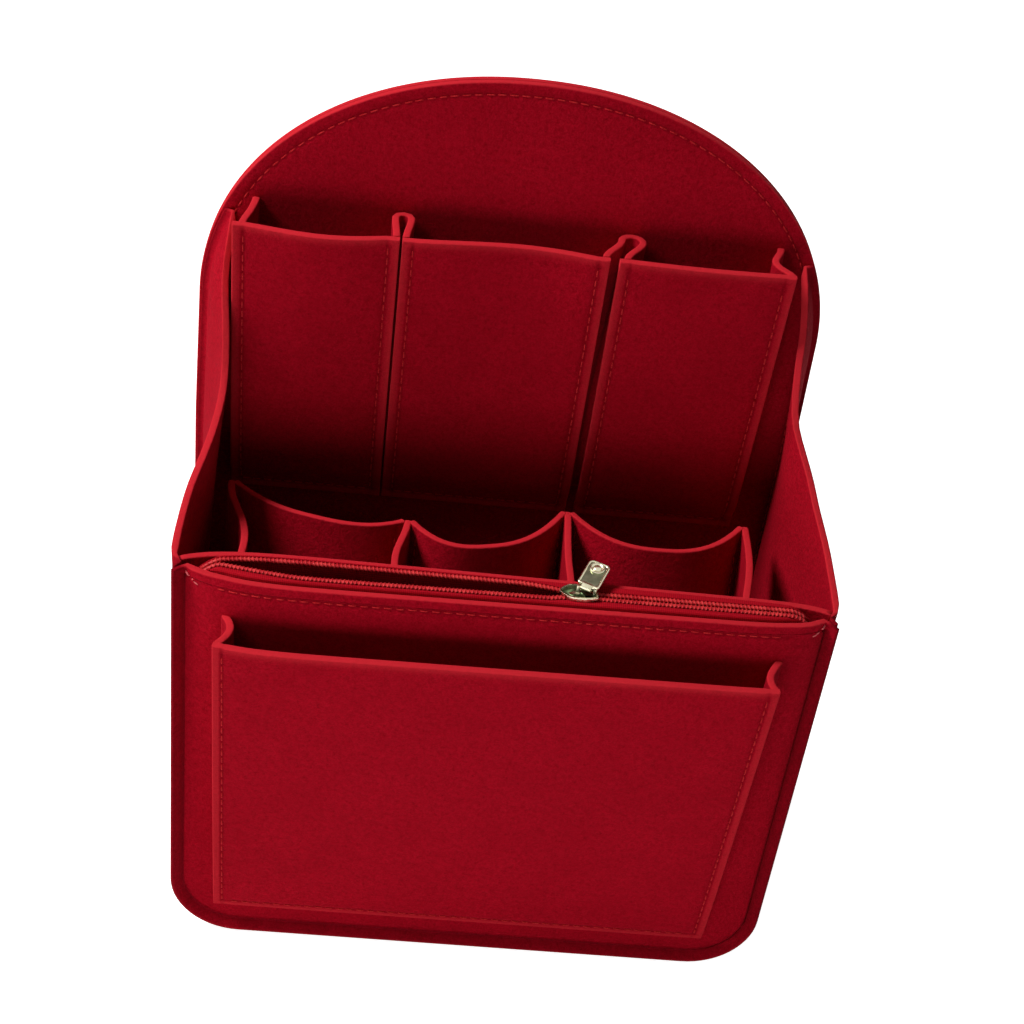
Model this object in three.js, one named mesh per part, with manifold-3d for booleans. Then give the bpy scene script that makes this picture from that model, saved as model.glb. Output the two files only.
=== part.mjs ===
// A felt organizer insert for a rucksack or a large purse.
// A straight zipped front, a tall domed back and one gusset strip between them make the body.
// Felt pockets stand in front of the front panel, behind the zip pocket and on the back panel.
// X runs across, the front panel faces -Y, Z is up, and the origin is under the middle of the base.

import * as THREE from 'three';
import Module from 'manifold-3d';

const wasm = await Module();
wasm.setup();

// Felt and the gaps between touching layers
const felt = 2.4;
const pressedFelt = 1.6;
const backLayer = 2.2;
const seatGap = 0.3;
const pressWidth = 4;

// Body
const bodyWidth = 210;
const frontHeight = 163;
const bodyDepth = 93;
const bodySway = -4.6;
const cornerRadius = 24.4;
const hemReach = 2.6;
const domeSpring = 208.3;
const domeRise = 85.4;
const domeLean = 0.8;
const domeFullness = 2.09;

// Side gusset: how high its rim climbs at the back, and how far the soft walls bend outwards
// The wall shares are depth, then the left wall's and the right wall's share of the whole bend
const gussetRearTop = 241;
const gussetRimShares = [
  [0, 0], [0.1, 0.035], [0.27, 0.09], [0.45, 0.2], [0.58, 0.32],
  [0.68, 0.435], [0.76, 0.6], [0.85, 0.757], [0.93, 0.93], [1, 1],
];
const wallBend = 7;
const wallBendShares = [
  [0, 0.5, 0.49], [0.1, 0.46, 0.49], [0.19, 0.36, 0.49], [0.26, 0.24, 0.46], [0.33, 0.04, 0.34],
  [0.42, -0.35, 0.09], [0.5, -0.7, -0.16], [0.58, -0.95, -0.55], [0.66, -1, -0.95],
  [0.74, -0.85, -0.95], [0.82, -0.5, -0.6], [0.9, -0.1, -0.15], [0.95, 0, 0],
];
const baseRise = 14;

// Front panel and the rear panel of the zip pocket bow apart at the top
const frontBowLeft = 9.6;
const frontBowRight = 7.2;
const rearBowLeft = 5.7;
const rearBowRight = 3;
const bowFullnessLeft = 9;
const bowFullnessRight = 16;
const bowHeightPower = 1.3;

// Zip
const zipLine = 0.8;
const zipLift = 0.8;
const coilWidth = 2;
const coilHeight = 1.6;
const zipMargins = [11, 12];
const tapeThickness = 0.5;
const tapeDrop = 12;
const tapeGap = 0.5;
const zipOpening = 4.6;
const zipOpenShares = [
  [0, -0.42, 0.85], [0.12, -0.13, 1.4], [0.26, 0.28, 1.45], [0.55, 0.56, 1.08],
  [0.83, 0.72, 0.7], [0.93, 0.55, 0.48], [1, 0.19, 0.19],
];

// Slider and pull
const sliderPlaceShare = 0.585;
const sliderLength = 12;
const sliderPlate = 0.8;
const sliderClearance = 0.25;
const sliderPost = 1.2;
const sliderPostLength = 3;
const sliderLip = 0.5;
const sliderTailWidth = 5.8;
const sliderRecess = 0.3;
const bridgePlace = 8.3;
const bridgeLength = 6.2;
const barWidth = 0.9;
const eyeLength = 3;
const eyeWall = 0.5;
const eyeLooseness = 0.5;
const pullWidth = 8.2;
const pullLength = 11.8;
const pullThickness = 1;
const pullCornerRadius = 2;
const pullShoulder = 3.2;
const pullBossRadius = 2.4;
const pullBossInset = 2.8;
const pullBossHeight = 0.7;
const pullSkew = 16.4;
const pullLift = 8;

// Front pocket
const frontPocketMargins = [15.4, 19];
const frontPocketTop = 149.5;
const frontPocketFoot = 14;
const frontPocketDepth = 12.6;
const frontPocketFootDepth = 1.2;
const frontPocketLip = 5;
const frontPocketRootLeans = [0.9, 2.6];
const frontPocketGussetBow = 1.3;

// Tall pockets: margins are from the back's sides, junctions are shares of half the width
const tallPocketTop = 246;
const tallPocketFoot = 134;
const tallPocketLip = 4;
const tallPocketDepth = 17.4;
const tallPocketFootDepth = 2.4;
const tallPocketMargins = [13.2, 17.1];
const tallJunctionShares = [-0.369, 0.2786];
const tallJunctionGaps = [0.7, 2.9];
const tallEdgeFlat = 4.2;
const tallPocketSags = [-3.3, 4, 0.4];
const tallSagPeakShares = [0.62, 0.71, 0.5];
const tallStripInsets = [[0, 1.85], [0, 0], [0, 1.6], [0, 0]];
const tallStripFoldLeans = [0.15, 5.6];
const tallStripFoldRadii = [2.6, 3.5];
const tallStripEndLeans = [2.5, -1.7];
const tallStripEndBows = [0.4, 3.9];
const tallStripLeast = 4;
const tallStripArmLeast = 0.4;

// Lower pockets behind the zip pocket: margins and junctions as above, depths from the front
const lowerPocketTop = 155;
const lowerPocketFoot = 30;
const lowerPocketLip = 5;
const lowerPocketFootDepth = 1.2;
const lowerMargins = [11.8, 22.9];
const lowerJunctionShares = [-0.316, 0.199];
const lowerDepthShares = [0.627, 0.477, 0.613, 0.616];
const lowerWallLeans = [7.2, -2.8, 0.3, -4.6];
const lowerWallBows = [3.4, -1.6, -0.6, 1.2];
const lowerPocketSags = [9.2, 16.4, 16.8];
const lowerWallLeast = 5;
const lowerRimFullness = 2.6;

// Points closer than this are one point when a plain shape is turned into a solid
const weldStep = 0.0001;

// Grid counts
const sideRows = 6;
const cornerSteps = 4;
const baseSteps = 8;
const zipSteps = 36;
const panelColumns = 10;
const panelRows = 5;
const stripArmSteps = 4;
const stripTurnSteps = 6;
const domeSteps = 40;

const halfWidth = bodyWidth / 2;
const wallInset = hemReach + felt / 2;
const zipHeight = frontHeight + zipLift;
const seat = felt / 2 + seatGap;
const hemTipInset = pressedFelt / 2 * Math.SQRT1_2;
const zipLeftEnd = zipMargins[0] - halfWidth;
const zipRightEnd = halfWidth - zipMargins[1];
const sliderNose = zipLeftEnd + (zipRightEnd - zipLeftEnd) * sliderPlaceShare;
const frontPocketEdges = [frontPocketMargins[0] - halfWidth, halfWidth - frontPocketMargins[1]];
const tallMiddles = tallJunctionShares.map((share) => share * halfWidth);
const tallPocketSpans = [
  [tallPocketMargins[0] - halfWidth, tallMiddles[0] - tallJunctionGaps[0] / 2],
  [tallMiddles[0] + tallJunctionGaps[0] / 2, tallMiddles[1] - tallJunctionGaps[1] / 2],
  [tallMiddles[1] + tallJunctionGaps[1] / 2, halfWidth - tallPocketMargins[1]],
];
const lowerPlaces = [
  lowerMargins[0] - halfWidth,
  ...lowerJunctionShares.map((share) => share * halfWidth),
  halfWidth - lowerMargins[1],
];
const lowerJunctions = lowerPlaces.map((x, index) => [x, bodyDepth * lowerDepthShares[index]]);

// Small maths helpers
const mix = (a, b, share) => a + (b - a) * share;
const clamp = (value, low, high) => Math.min(high, Math.max(low, value));
const easeShare = (share) => share * share * (3 - 2 * share);
const humpShare = (share) => Math.sin(Math.PI * share) ** 2;
const radians = (degrees) => degrees * Math.PI / 180;

// A smooth value read from a table whose rows are [share, value, ...]
function readShares(table, share, column = 1) {
  const last = table.length - 1;
  const at = clamp(share, table[0][0], table[last][0]);
  let row = 0;
  while (row < last - 1 && table[row + 1][0] < at) row += 1;
  const slope = (index) => {
    const before = table[Math.max(0, index - 1)];
    const after = table[Math.min(last, index + 1)];
    return (after[column] - before[column]) / (after[0] - before[0]);
  };
  const [start, end] = [table[row], table[row + 1]];
  const width = end[0] - start[0];
  const t = (at - start[0]) / width;
  const rise = easeShare(t);
  const startPull = t * (1 - t) * (1 - t) * slope(row) * width;
  const endPull = t * t * (t - 1) * slope(row + 1) * width;
  return mix(start[column], end[column], rise) + startPull + endPull;
}

// A closed solid from an open sheet of points and faces, thickened evenly to both sides
// A point with a trim axis keeps its place along that axis, so an edge there is cut square to it
function thicken({ points, faces, trims = [] }, thicknessAt) {
  const normals = points.map(() => new THREE.Vector3());
  const faceNormals = faces.map(([a, b, c]) => {
    const ab = points[b].clone().sub(points[a]);
    return ab.cross(points[c].clone().sub(points[a])).normalize();
  });
  faces.forEach((face, index) => {
    face.forEach((corner, turn) => {
      const next = points[face[(turn + 1) % 3]].clone().sub(points[corner]);
      const previous = points[face[(turn + 2) % 3]].clone().sub(points[corner]);
      normals[corner].addScaledVector(faceNormals[index], next.angleTo(previous));
    });
  });
  const stretch = points.map(() => 0);
  const touching = points.map(() => 0);
  normals.forEach((normal) => normal.normalize());
  faces.forEach((face, index) => {
    face.forEach((corner) => {
      stretch[corner] += normals[corner].dot(faceNormals[index]);
      touching[corner] += 1;
    });
  });
  const count = points.length;
  const positions = [];
  [1, -1].forEach((side) => {
    points.forEach((point, index) => {
      const mitre = touching[index] / Math.max(stretch[index], touching[index] / Math.SQRT2);
      const half = thicknessAt(index) / 2 * mitre * side;
      const way = normals[index].clone();
      if (trims[index]) way[trims[index]] = 0;
      way.divideScalar(Math.max(way.dot(normals[index]), 0.2));
      const moved = point.clone().addScaledVector(way, half);
      positions.push(moved.x, moved.y, moved.z);
    });
  });
  const indices = [];
  const edges = new Map();
  faces.forEach(([a, b, c]) => {
    indices.push(a, b, c, a + count, c + count, b + count);
    [[a, b], [b, c], [c, a]].forEach(([from, to]) => {
      if (edges.has(`${to},${from}`)) edges.delete(`${to},${from}`);
      else edges.set(`${from},${to}`, [from, to]);
    });
  });
  edges.forEach(([from, to]) => {
    indices.push(to, from, from + count, to, from + count, to + count);
  });
  const geometry = new THREE.BufferGeometry();
  geometry.setAttribute('position', new THREE.Float32BufferAttribute(positions, 3));
  geometry.setIndex(indices);
  return geometry;
}

// A sheet of rows and columns of points, its side edges cut square to the trim axis
function gridSheet(rows, columns, pointAt, trim) {
  const points = [];
  const trims = [];
  for (let row = 0; row <= rows; row += 1) {
    for (let column = 0; column <= columns; column += 1) {
      points.push(new THREE.Vector3(...pointAt(column / columns, row / rows, column, row)));
      trims.push(column === 0 || column === columns ? trim : undefined);
    }
  }
  const faces = [];
  const width = columns + 1;
  for (let row = 0; row < rows; row += 1) {
    for (let column = 0; column < columns; column += 1) {
      const corner = row * width + column;
      faces.push([corner, corner + 1, corner + width + 1]);
      faces.push([corner, corner + width + 1, corner + width]);
    }
  }
  return { points, faces, trims };
}

function feltSheet(rows, columns, pointAt, trim) {
  return thicken(gridSheet(rows, columns, pointAt, trim), () => felt);
}

// The body's outline in the X-Z plane, moved inwards by an inset
// It runs down the left side, round the corner, along the base and up the right side
const pathSteps = 2 * (sideRows + cornerSteps) + baseSteps;

const swayAt = (depth) => bodySway * clamp(depth / bodyDepth, 0, 1);

// Half the width at a height: straight, then leaning in a little, then the dome's full curve
function sideX(height, inset) {
  const lean = domeLean * clamp((height - frontHeight) / (domeSpring - frontHeight), 0, 1);
  const share = clamp((height - domeSpring) / (domeRise - inset), 0, 1);
  return (halfWidth - lean - inset) * (1 - share ** domeFullness) ** (1 / domeFullness);
}

// How far a side wall of the gusset stands outside its straight line, at its rim
function wallShift(depth, height, top, side) {
  const climb = clamp((height - cornerRadius) / (top - cornerRadius), 0, 1);
  const column = side < 0 ? 1 : 2;
  return wallBend * readShares(wallBendShares, depth / bodyDepth, column) * climb * climb;
}

function outlinePoint(step, inset, top) {
  const half = pathSteps / 2;
  const side = step <= half ? -1 : 1;
  const fromTop = step <= half ? step : pathSteps - step;
  const radius = cornerRadius - inset;
  if (fromTop <= sideRows) {
    const height = mix(top, cornerRadius, fromTop / sideRows);
    return [side * sideX(height, inset), height];
  }
  const flat = halfWidth - cornerRadius;
  if (fromTop <= sideRows + cornerSteps) {
    const turn = (fromTop - sideRows) / cornerSteps * Math.PI / 2;
    return [side * (flat + radius * Math.cos(turn)), cornerRadius - radius * Math.sin(turn)];
  }
  const share = (fromTop - sideRows - cornerSteps) / (baseSteps / 2);
  return [side * flat * (1 - share), inset];
}

// A panel that fills the outline: hem rings outside, then straight rows between the sides
function outlineSheet(rings, depthAt, thicknessAt) {
  const points = [];
  const faces = [];
  const thickness = [];
  const trims = [];
  const add = (x, height, depth, thick, trim) => {
    points.push(new THREE.Vector3(x + swayAt(depth), depth, height));
    thickness.push(thick);
    trims.push(trim);
    return points.length - 1;
  };
  const inner = rings[rings.length - 1];
  const columns = pathSteps - 2 * sideRows;
  const baseShare = (column) => {
    const foot = outlinePoint(sideRows + column, inner.inset, frontHeight)[0];
    return foot / (halfWidth - inner.inset);
  };
  const rows = [];
  for (let row = 0; row <= sideRows; row += 1) {
    const height = mix(frontHeight, cornerRadius, row / sideRows);
    const line = [];
    for (let column = 0; column <= columns; column += 1) {
      const side = column < columns / 2 ? -1 : 1;
      const widen = rings.length === 1 ? wallShift(inner.depth, height, frontHeight, side) : 0;
      const x = (halfWidth - inner.inset + widen) * baseShare(column);
      const edge = column === 0 || column === columns;
      const thick = edge ? inner.thickness : thicknessAt;
      const trim = edge && rings.length === 1 ? 'x' : undefined;
      line.push(add(x, height, depthAt(x, height), thick, trim));
    }
    rows.push(line);
  }
  const foot = [rows[sideRows][0]];
  for (let column = 1; column < columns; column += 1) {
    const [x, height] = outlinePoint(sideRows + column, inner.inset, frontHeight);
    foot.push(add(x, height, depthAt(x, height), inner.thickness));
  }
  foot.push(rows[sideRows][columns]);
  const quad = (a, b, c, d) => {
    if (a !== b && b !== c && c !== a) faces.push([a, b, c]);
    if (a !== c && c !== d && d !== a) faces.push([a, c, d]);
  };
  [...rows.slice(1), foot].forEach((line, index) => {
    const above = index < sideRows ? rows[index] : rows[sideRows];
    for (let column = 0; column < columns; column += 1) {
      quad(line[column], line[column + 1], above[column + 1], above[column]);
    }
  });
  let inside = [];
  for (let step = 0; step <= pathSteps; step += 1) {
    if (step <= sideRows) inside.push(rows[step][0]);
    else if (step < pathSteps - sideRows) inside.push(foot[step - sideRows]);
    else inside.push(rows[pathSteps - step][columns]);
  }
  rings.slice(0, -1).reverse().forEach((ring) => {
    const outside = inside.map((unused, step) => {
      const [x, height] = outlinePoint(step, ring.inset, frontHeight);
      return add(x, height, ring.depth, ring.thickness);
    });
    for (let step = 0; step < pathSteps; step += 1) {
      quad(outside[step], outside[step + 1], inside[step + 1], inside[step]);
    }
    inside = outside;
  });
  return thicken({ points, faces, trims }, (index) => thickness[index]);
}

// How far the zip pocket's two panels bow apart at a place on them
function bowAt(x, height, reach, left, right) {
  const across = clamp(x / reach, -1, 1);
  const fullness = across < 0 ? bowFullnessLeft : bowFullnessRight;
  const profile = 1 - Math.abs(across) ** fullness;
  const rise = clamp(height / frontHeight, 0, 1) ** bowHeightPower;
  return mix(left, right, (across + 1) / 2) * profile * rise;
}

// Depth of the middle of the front panel's felt, and of the zip pocket's rear panel
const creaseInset = wallInset + felt / 4;
const rearPanelInset = wallInset + felt / 2 + seatGap;
const rearPanelSeat = felt + seatGap + felt / 2;

function frontDepth(x, height) {
  return felt / 2 - bowAt(x, height, halfWidth - creaseInset, frontBowLeft, frontBowRight);
}

function rearDepth(x, height) {
  const bow = bowAt(x, height, halfWidth - rearPanelInset, rearBowLeft, rearBowRight);
  return rearPanelSeat + bow;
}

// The front hem flares outwards and forwards, one layer behind the other
const frontHemDepth = felt / 2 - (creaseInset - hemTipInset);
const hemStep = (pressedFelt + seatGap) * Math.SQRT2;
const gussetCreaseDepth = felt / 2 - creaseInset + hemStep + wallInset;
const gussetHemDepth = gussetCreaseDepth - (wallInset - hemTipInset);

function frontPanel() {
  const rings = [
    { inset: hemTipInset, depth: frontHemDepth, thickness: pressedFelt },
    { inset: creaseInset, depth: felt / 2, thickness: pressedFelt },
  ];
  return outlineSheet(rings, frontDepth, felt);
}

function zipPocketRearPanel() {
  const rings = [
    { inset: rearPanelInset, depth: rearPanelSeat, thickness: felt },
  ];
  return outlineSheet(rings, rearDepth, felt);
}

// Back panel: two flat layers with a domed top
const backInner = bodyDepth - 2 * backLayer - seatGap;

function domeOutline() {
  const shape = new THREE.Shape();
  const flat = halfWidth - cornerRadius;
  shape.moveTo(-flat, 0);
  shape.lineTo(flat, 0);
  shape.absarc(flat, cornerRadius, cornerRadius, -Math.PI / 2, 0, false);
  shape.lineTo(halfWidth, frontHeight);
  for (let step = 0; step <= domeSteps; step += 1) {
    const turn = Math.PI * step / domeSteps;
    const height = domeSpring + domeRise * Math.sin(turn) ** (2 / domeFullness);
    shape.lineTo(Math.sign(Math.cos(turn)) * sideX(height, 0), height);
  }
  shape.lineTo(-halfWidth, frontHeight);
  shape.lineTo(-halfWidth, cornerRadius);
  shape.absarc(-flat, cornerRadius, cornerRadius, Math.PI, Math.PI * 1.5, false);
  return shape;
}

function backPanelLayer() {
  const settings = { depth: backLayer, bevelEnabled: false, curveSegments: cornerSteps };
  const geometry = new THREE.ExtrudeGeometry(domeOutline(), settings);
  geometry.rotateX(Math.PI / 2);
  return geometry;
}

// Gusset: one strip down the left side, under the base and up the right side
const rearCreaseDepth = backInner - seatGap - pressedFelt / 2;
const gussetDepths = [
  { inset: hemTipInset, depth: gussetHemDepth, thickness: pressedFelt },
  { inset: wallInset, depth: gussetCreaseDepth, thickness: pressedFelt },
  { inset: wallInset, depth: gussetCreaseDepth + pressWidth, thickness: felt },
  { inset: wallInset, depth: baseRise, thickness: felt },
  ...[0.26, 0.38, 0.5, 0.6, 0.69, 0.77].map((share) => (
    { inset: wallInset, depth: bodyDepth * share, thickness: felt })),
  { inset: wallInset, depth: bodyDepth - baseRise, thickness: felt },
  { inset: wallInset, depth: rearCreaseDepth - pressWidth, thickness: felt },
  { inset: wallInset, depth: rearCreaseDepth, thickness: pressedFelt },
  { inset: pressedFelt / 2, depth: rearCreaseDepth, thickness: pressedFelt },
];

function gussetTop(depth) {
  const share = clamp(depth / rearCreaseDepth, 0, 1);
  return mix(frontHeight, gussetRearTop, readShares(gussetRimShares, share));
}

function baseSag(step, depth) {
  const half = pathSteps / 2;
  const fromCorner = half - Math.abs(step - half) - sideRows - 1;
  const across = clamp(fromCorner / (cornerSteps - 1), 0, 1);
  const fromSeam = Math.min(depth - gussetCreaseDepth, rearCreaseDepth - depth);
  const along = clamp(fromSeam / (baseRise - gussetCreaseDepth), 0, 1);
  return (wallInset - felt / 2) * easeShare(across) * along;
}

function sideGusset() {
  const sheet = gridSheet(pathSteps, gussetDepths.length - 1, (u, v, column, step) => {
    const { inset, depth } = gussetDepths[column];
    const top = gussetTop(depth);
    const [x, height] = outlinePoint(step, inset, top);
    const side = Math.sign(x);
    const shift = inset === wallInset ? side * wallShift(depth, height, top, side) : 0;
    const sag = step > sideRows && step < pathSteps - sideRows ? baseSag(step, depth) : 0;
    return [x + shift + swayAt(depth), depth, height - sag];
  });
  const columns = gussetDepths.length;
  return thicken(sheet, (index) => gussetDepths[index % columns].thickness);
}

// Zip: where each half of the chain runs, measured from the zip's own line
function coilInset(x, column) {
  const closed = seatGap / 2;
  const atNose = sliderPost / 2 + sliderClearance;
  if (x >= sliderNose) {
    const share = clamp((x - sliderNose) / (sliderLength * 0.75), 0, 1);
    return mix(atNose, closed, easeShare(share));
  }
  const share = (x - zipLeftEnd) / (sliderNose - zipLeftEnd);
  return zipOpening * readShares(zipOpenShares, share, column);
}

// Depth of the middle of the tape where it lies on the felt
function tapeWall(x, side, height) {
  const off = felt / 2 + tapeGap + tapeThickness / 2;
  return side < 0 ? frontDepth(x, height) + off : rearDepth(x, height) - off;
}

function zipX(share) {
  return mix(zipLeftEnd, zipRightEnd, share);
}

function coilSpot(x, side) {
  const column = side < 0 ? 1 : 2;
  const wanted = zipLine + side * (coilInset(x, column) + coilWidth / 2);
  const room = tapeWall(x, side, frontHeight) - side * (coilWidth / 2 + seatGap + tapeThickness);
  if (side > 0) return Math.min(wanted, room);
  return Math.min(Math.max(wanted, room), coilSpot(x, 1) - coilWidth - seatGap);
}

function zipCoil(side) {
  const sheet = gridSheet(zipSteps, 1, (v, u) => {
    const x = zipX(u);
    return [x, coilSpot(x, side) + mix(-coilWidth, coilWidth, v) / 2, zipHeight];
  });
  return thicken(sheet, () => coilHeight);
}

function zipTape(side) {
  const rows = 3;
  return thicken(gridSheet(zipSteps, rows, (v, u, row) => {
    const x = zipX(u);
    if (row === 0) return [x, coilSpot(x, side) + side * (coilWidth / 2 + seatGap), zipHeight];
    const height = row === 1 ? zipHeight : frontHeight - tapeDrop * (row - 1) / (rows - 1);
    return [x, tapeWall(x, side, Math.min(height, frontHeight)), height];
  }), () => tapeThickness);
}

// Slider: two plates on a post, lips along the sides, and a bridge for the pull
function solidOf(geometry) {
  const flat = geometry.index ? geometry.toNonIndexed() : geometry;
  const source = flat.attributes.position;
  const seen = new Map();
  const vertices = [];
  const triangles = [];
  for (let index = 0; index < source.count; index += 1) {
    const spot = [source.getX(index), source.getY(index), source.getZ(index)];
    const key = spot.map((value) => Math.round(value / weldStep)).join(' ');
    if (!seen.has(key)) {
      seen.set(key, vertices.length / 3);
      vertices.push(...spot);
    }
    triangles.push(seen.get(key));
  }
  const mesh = new wasm.Mesh({
    numProp: 3,
    vertProperties: new Float32Array(vertices),
    triVerts: new Uint32Array(triangles),
  });
  return new wasm.Manifold(mesh);
}

function geometryOf(solid) {
  const mesh = solid.getMesh();
  const geometry = new THREE.BufferGeometry();
  geometry.setAttribute('position', new THREE.BufferAttribute(mesh.vertProperties, 3));
  geometry.setIndex(new THREE.BufferAttribute(mesh.triVerts, 1));
  return geometry;
}

function boxSolid(x0, x1, y0, y1, z0, z1) {
  const geometry = new THREE.BoxGeometry(x1 - x0, y1 - y0, z1 - z0);
  geometry.translate((x0 + x1) / 2, (y0 + y1) / 2, (z0 + z1) / 2);
  return solidOf(geometry);
}

const sliderCavity = coilHeight / 2 + sliderClearance;
const sliderTop = sliderCavity + sliderPlate;
const sliderHalfWidth = sliderPost / 2 + 2 * sliderClearance + coilWidth + sliderLip;
const eyeInner = barWidth / 2 + eyeLooseness;
const eyeOuter = eyeInner + eyeWall;
const barHeight = sliderTop + eyeOuter + sliderClearance;

function sliderOutline(inset) {
  const half = sliderHalfWidth - inset;
  const tail = sliderTailWidth / 2 - inset;
  const end = sliderLength - inset;
  const shoulder = sliderLength * 0.42;
  const shape = new THREE.Shape();
  shape.moveTo(end, -tail);
  shape.lineTo(end, tail);
  shape.lineTo(sliderLength * 0.7, half);
  shape.lineTo(shoulder, half);
  shape.quadraticCurveTo(sliderLength * 0.2, half, inset, half * 0.16);
  shape.lineTo(inset, -half * 0.16);
  shape.quadraticCurveTo(sliderLength * 0.2, -half, shoulder, -half);
  shape.lineTo(sliderLength * 0.7, -half);
  shape.closePath();
  return shape;
}

function sliderBlock(inset, low, high) {
  const settings = { depth: high - low, bevelEnabled: false, curveSegments: 6 };
  const block = new THREE.ExtrudeGeometry(sliderOutline(inset), settings);
  block.translate(0, 0, low);
  return solidOf(block);
}

function sliderBody() {
  const inner = sliderHalfWidth - sliderLip;
  const [before, after] = [-sliderLip, sliderLength + sliderLip];
  const throat = boxSolid(before, after, -inner, inner, -sliderCavity, sliderCavity);
  const slotHalf = tapeThickness / 2 + sliderClearance;
  const slot = boxSolid(
    before, after, -sliderHalfWidth - sliderLip, sliderHalfWidth + sliderLip, -slotHalf, slotHalf,
  );
  const deep = sliderCavity + sliderPlate / 4;
  const post = boxSolid(
    sliderLip * 2, sliderPostLength, -sliderPost / 2, sliderPost / 2, -deep, deep,
  );
  const recess = sliderBlock(sliderLip, sliderTop - sliderRecess, sliderTop + sliderLip);
  const half = barWidth / 2;
  const bar = new THREE.CylinderGeometry(half, half, bridgeLength - barWidth, 16);
  bar.rotateZ(Math.PI / 2);
  bar.translate(bridgePlace, 0, barHeight);
  const legs = [-1, 1].map((side) => {
    const x = bridgePlace + side * (bridgeLength - barWidth) / 2;
    return boxSolid(x - half, x + half, -half, half, deep, barHeight + half);
  });
  const shell = sliderBlock(0, -sliderTop, sliderTop).subtract(throat).subtract(slot);
  const body = shell.subtract(recess).add(post).add(solidOf(bar));
  return geometryOf(legs.reduce((sum, leg) => sum.add(leg), body));
}

// The pull tab lies along +Y from its rolled eye at the origin
function pullTab() {
  const half = pullWidth / 2;
  const near = mix(eyeInner, eyeOuter, 0.8);
  const [far, round, shoulder] = [pullLength, pullCornerRadius, pullShoulder];
  const shape = new THREE.Shape();
  shape.moveTo(-half, near + shoulder);
  shape.quadraticCurveTo(-half, near, -half + shoulder, near);
  shape.lineTo(half - shoulder, near);
  shape.quadraticCurveTo(half, near, half, near + shoulder);
  shape.lineTo(half, far - round);
  shape.quadraticCurveTo(half, far, half - round, far);
  shape.lineTo(-half + round, far);
  shape.quadraticCurveTo(-half, far, -half, far - round);
  shape.closePath();
  const settings = { depth: pullThickness, bevelEnabled: false, curveSegments: 5 };
  const plate = new THREE.ExtrudeGeometry(shape, settings);
  plate.translate(0, 0, -pullThickness / 2);
  const turned = (radius, length) => {
    const geometry = new THREE.CylinderGeometry(radius, radius, length, 20);
    geometry.rotateZ(Math.PI / 2);
    return solidOf(geometry);
  };
  const boss = new THREE.CylinderGeometry(
    pullBossRadius * 0.8, pullBossRadius, pullBossHeight + pullThickness / 2, 20,
  );
  boss.rotateX(Math.PI / 2);
  boss.translate(0, far - pullBossInset, (pullBossHeight + pullThickness / 2) / 2);
  const tube = turned(eyeOuter, eyeLength);
  const bore = turned(eyeInner, eyeLength + eyeWall);
  return geometryOf(solidOf(plate).add(tube).subtract(bore).add(solidOf(boss)));
}

// Front pocket: a flat panel that leans forwards from its foot, and a strip at each side
function frontPocketDepthAt(x, height) {
  const climb = clamp((height - frontPocketFoot - frontPocketLip)
    / (frontPocketTop - frontPocketFoot - frontPocketLip), 0, 1);
  const deep = mix(frontPocketFootDepth, frontPocketDepth, climb ** 0.8);
  return frontDepth(x, height) - felt - seatGap - deep;
}

function frontPocketPanel() {
  return feltSheet(panelRows + 1, 12, (u, v, column, row) => {
    const height = row === 0 ? frontPocketFoot
      : mix(frontPocketFoot + frontPocketLip, frontPocketTop, (row - 1) / panelRows);
    const x = mix(...frontPocketEdges, u);
    if (row === 0) return [x, frontDepth(x, height) - felt - seatGap, height];
    return [x, frontPocketDepthAt(x, height), height];
  }, 'x');
}

function frontPocketGusset(side) {
  const index = side < 0 ? 0 : 1;
  const edge = frontPocketEdges[index] - side * felt / 2;
  const start = frontPocketFoot + 3 * frontPocketLip;
  return feltSheet(panelRows, 4, (u, v) => {
    const height = mix(start, frontPocketTop, v);
    const faces = [-felt, 0, felt].map((step) => edge + step / 2);
    const front = Math.max(...faces.map((place) => frontPocketDepthAt(place, height))) + seat;
    const back = Math.min(...faces.map((place) => frontDepth(place, height))) - seat;
    const fullness = (back - front) / frontPocketDepth;
    const lean = frontPocketRootLeans[index] * easeShare(u);
    const bow = side * humpShare(u) * frontPocketGussetBow;
    return [edge + (lean - bow) * fullness, mix(front, back, u), height];
  }, 'y');
}

// Tall pockets on the back panel
function tallDepthAt(height) {
  const climb = clamp((height - tallPocketFoot - tallPocketLip)
    / (tallPocketTop - tallPocketFoot - tallPocketLip), 0, 1);
  const deep = mix(tallPocketFootDepth, tallPocketDepth, climb ** 0.85);
  return backInner - seat - deep;
}

// A panel is flat along its side edges, where it is sewn to its strips, and sags between them
function tallPocketPanel(index) {
  const peak = Math.log(0.5) / Math.log(tallSagPeakShares[index]);
  const [left, right] = tallPocketSpans[index];
  return feltSheet(panelRows + 1, panelColumns, (u, v, column, row) => {
    const across = clamp((column - 1) / (panelColumns - 2), 0, 1);
    const x = column % panelColumns ? mix(left + tallEdgeFlat, right - tallEdgeFlat, across)
      : mix(left, right, u);
    if (row === 0) return [x, backInner - seat, tallPocketFoot];
    const share = (row - 1) / panelRows;
    const height = mix(tallPocketFoot + tallPocketLip, tallPocketTop, share);
    const sag = humpShare(across ** peak) * tallPocketSags[index] * share;
    return [x, tallDepthAt(height) + sag, height];
  }, 'x');
}

// Height above which a tall pocket stands far enough off the back panel to need a side strip
function tallStripFoot() {
  let height = tallPocketFoot + tallPocketLip;
  while (backInner - seat - tallDepthAt(height) < tallStripLeast) height += tallPocketLip;
  return height;
}

// A side strip starts behind the edge of its panel and bends sideways on its way to the back,
// the more so the further its panel stands off
const tallStripFrontAt = (height) => tallDepthAt(height) + felt / 2 + seatGap;

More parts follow.
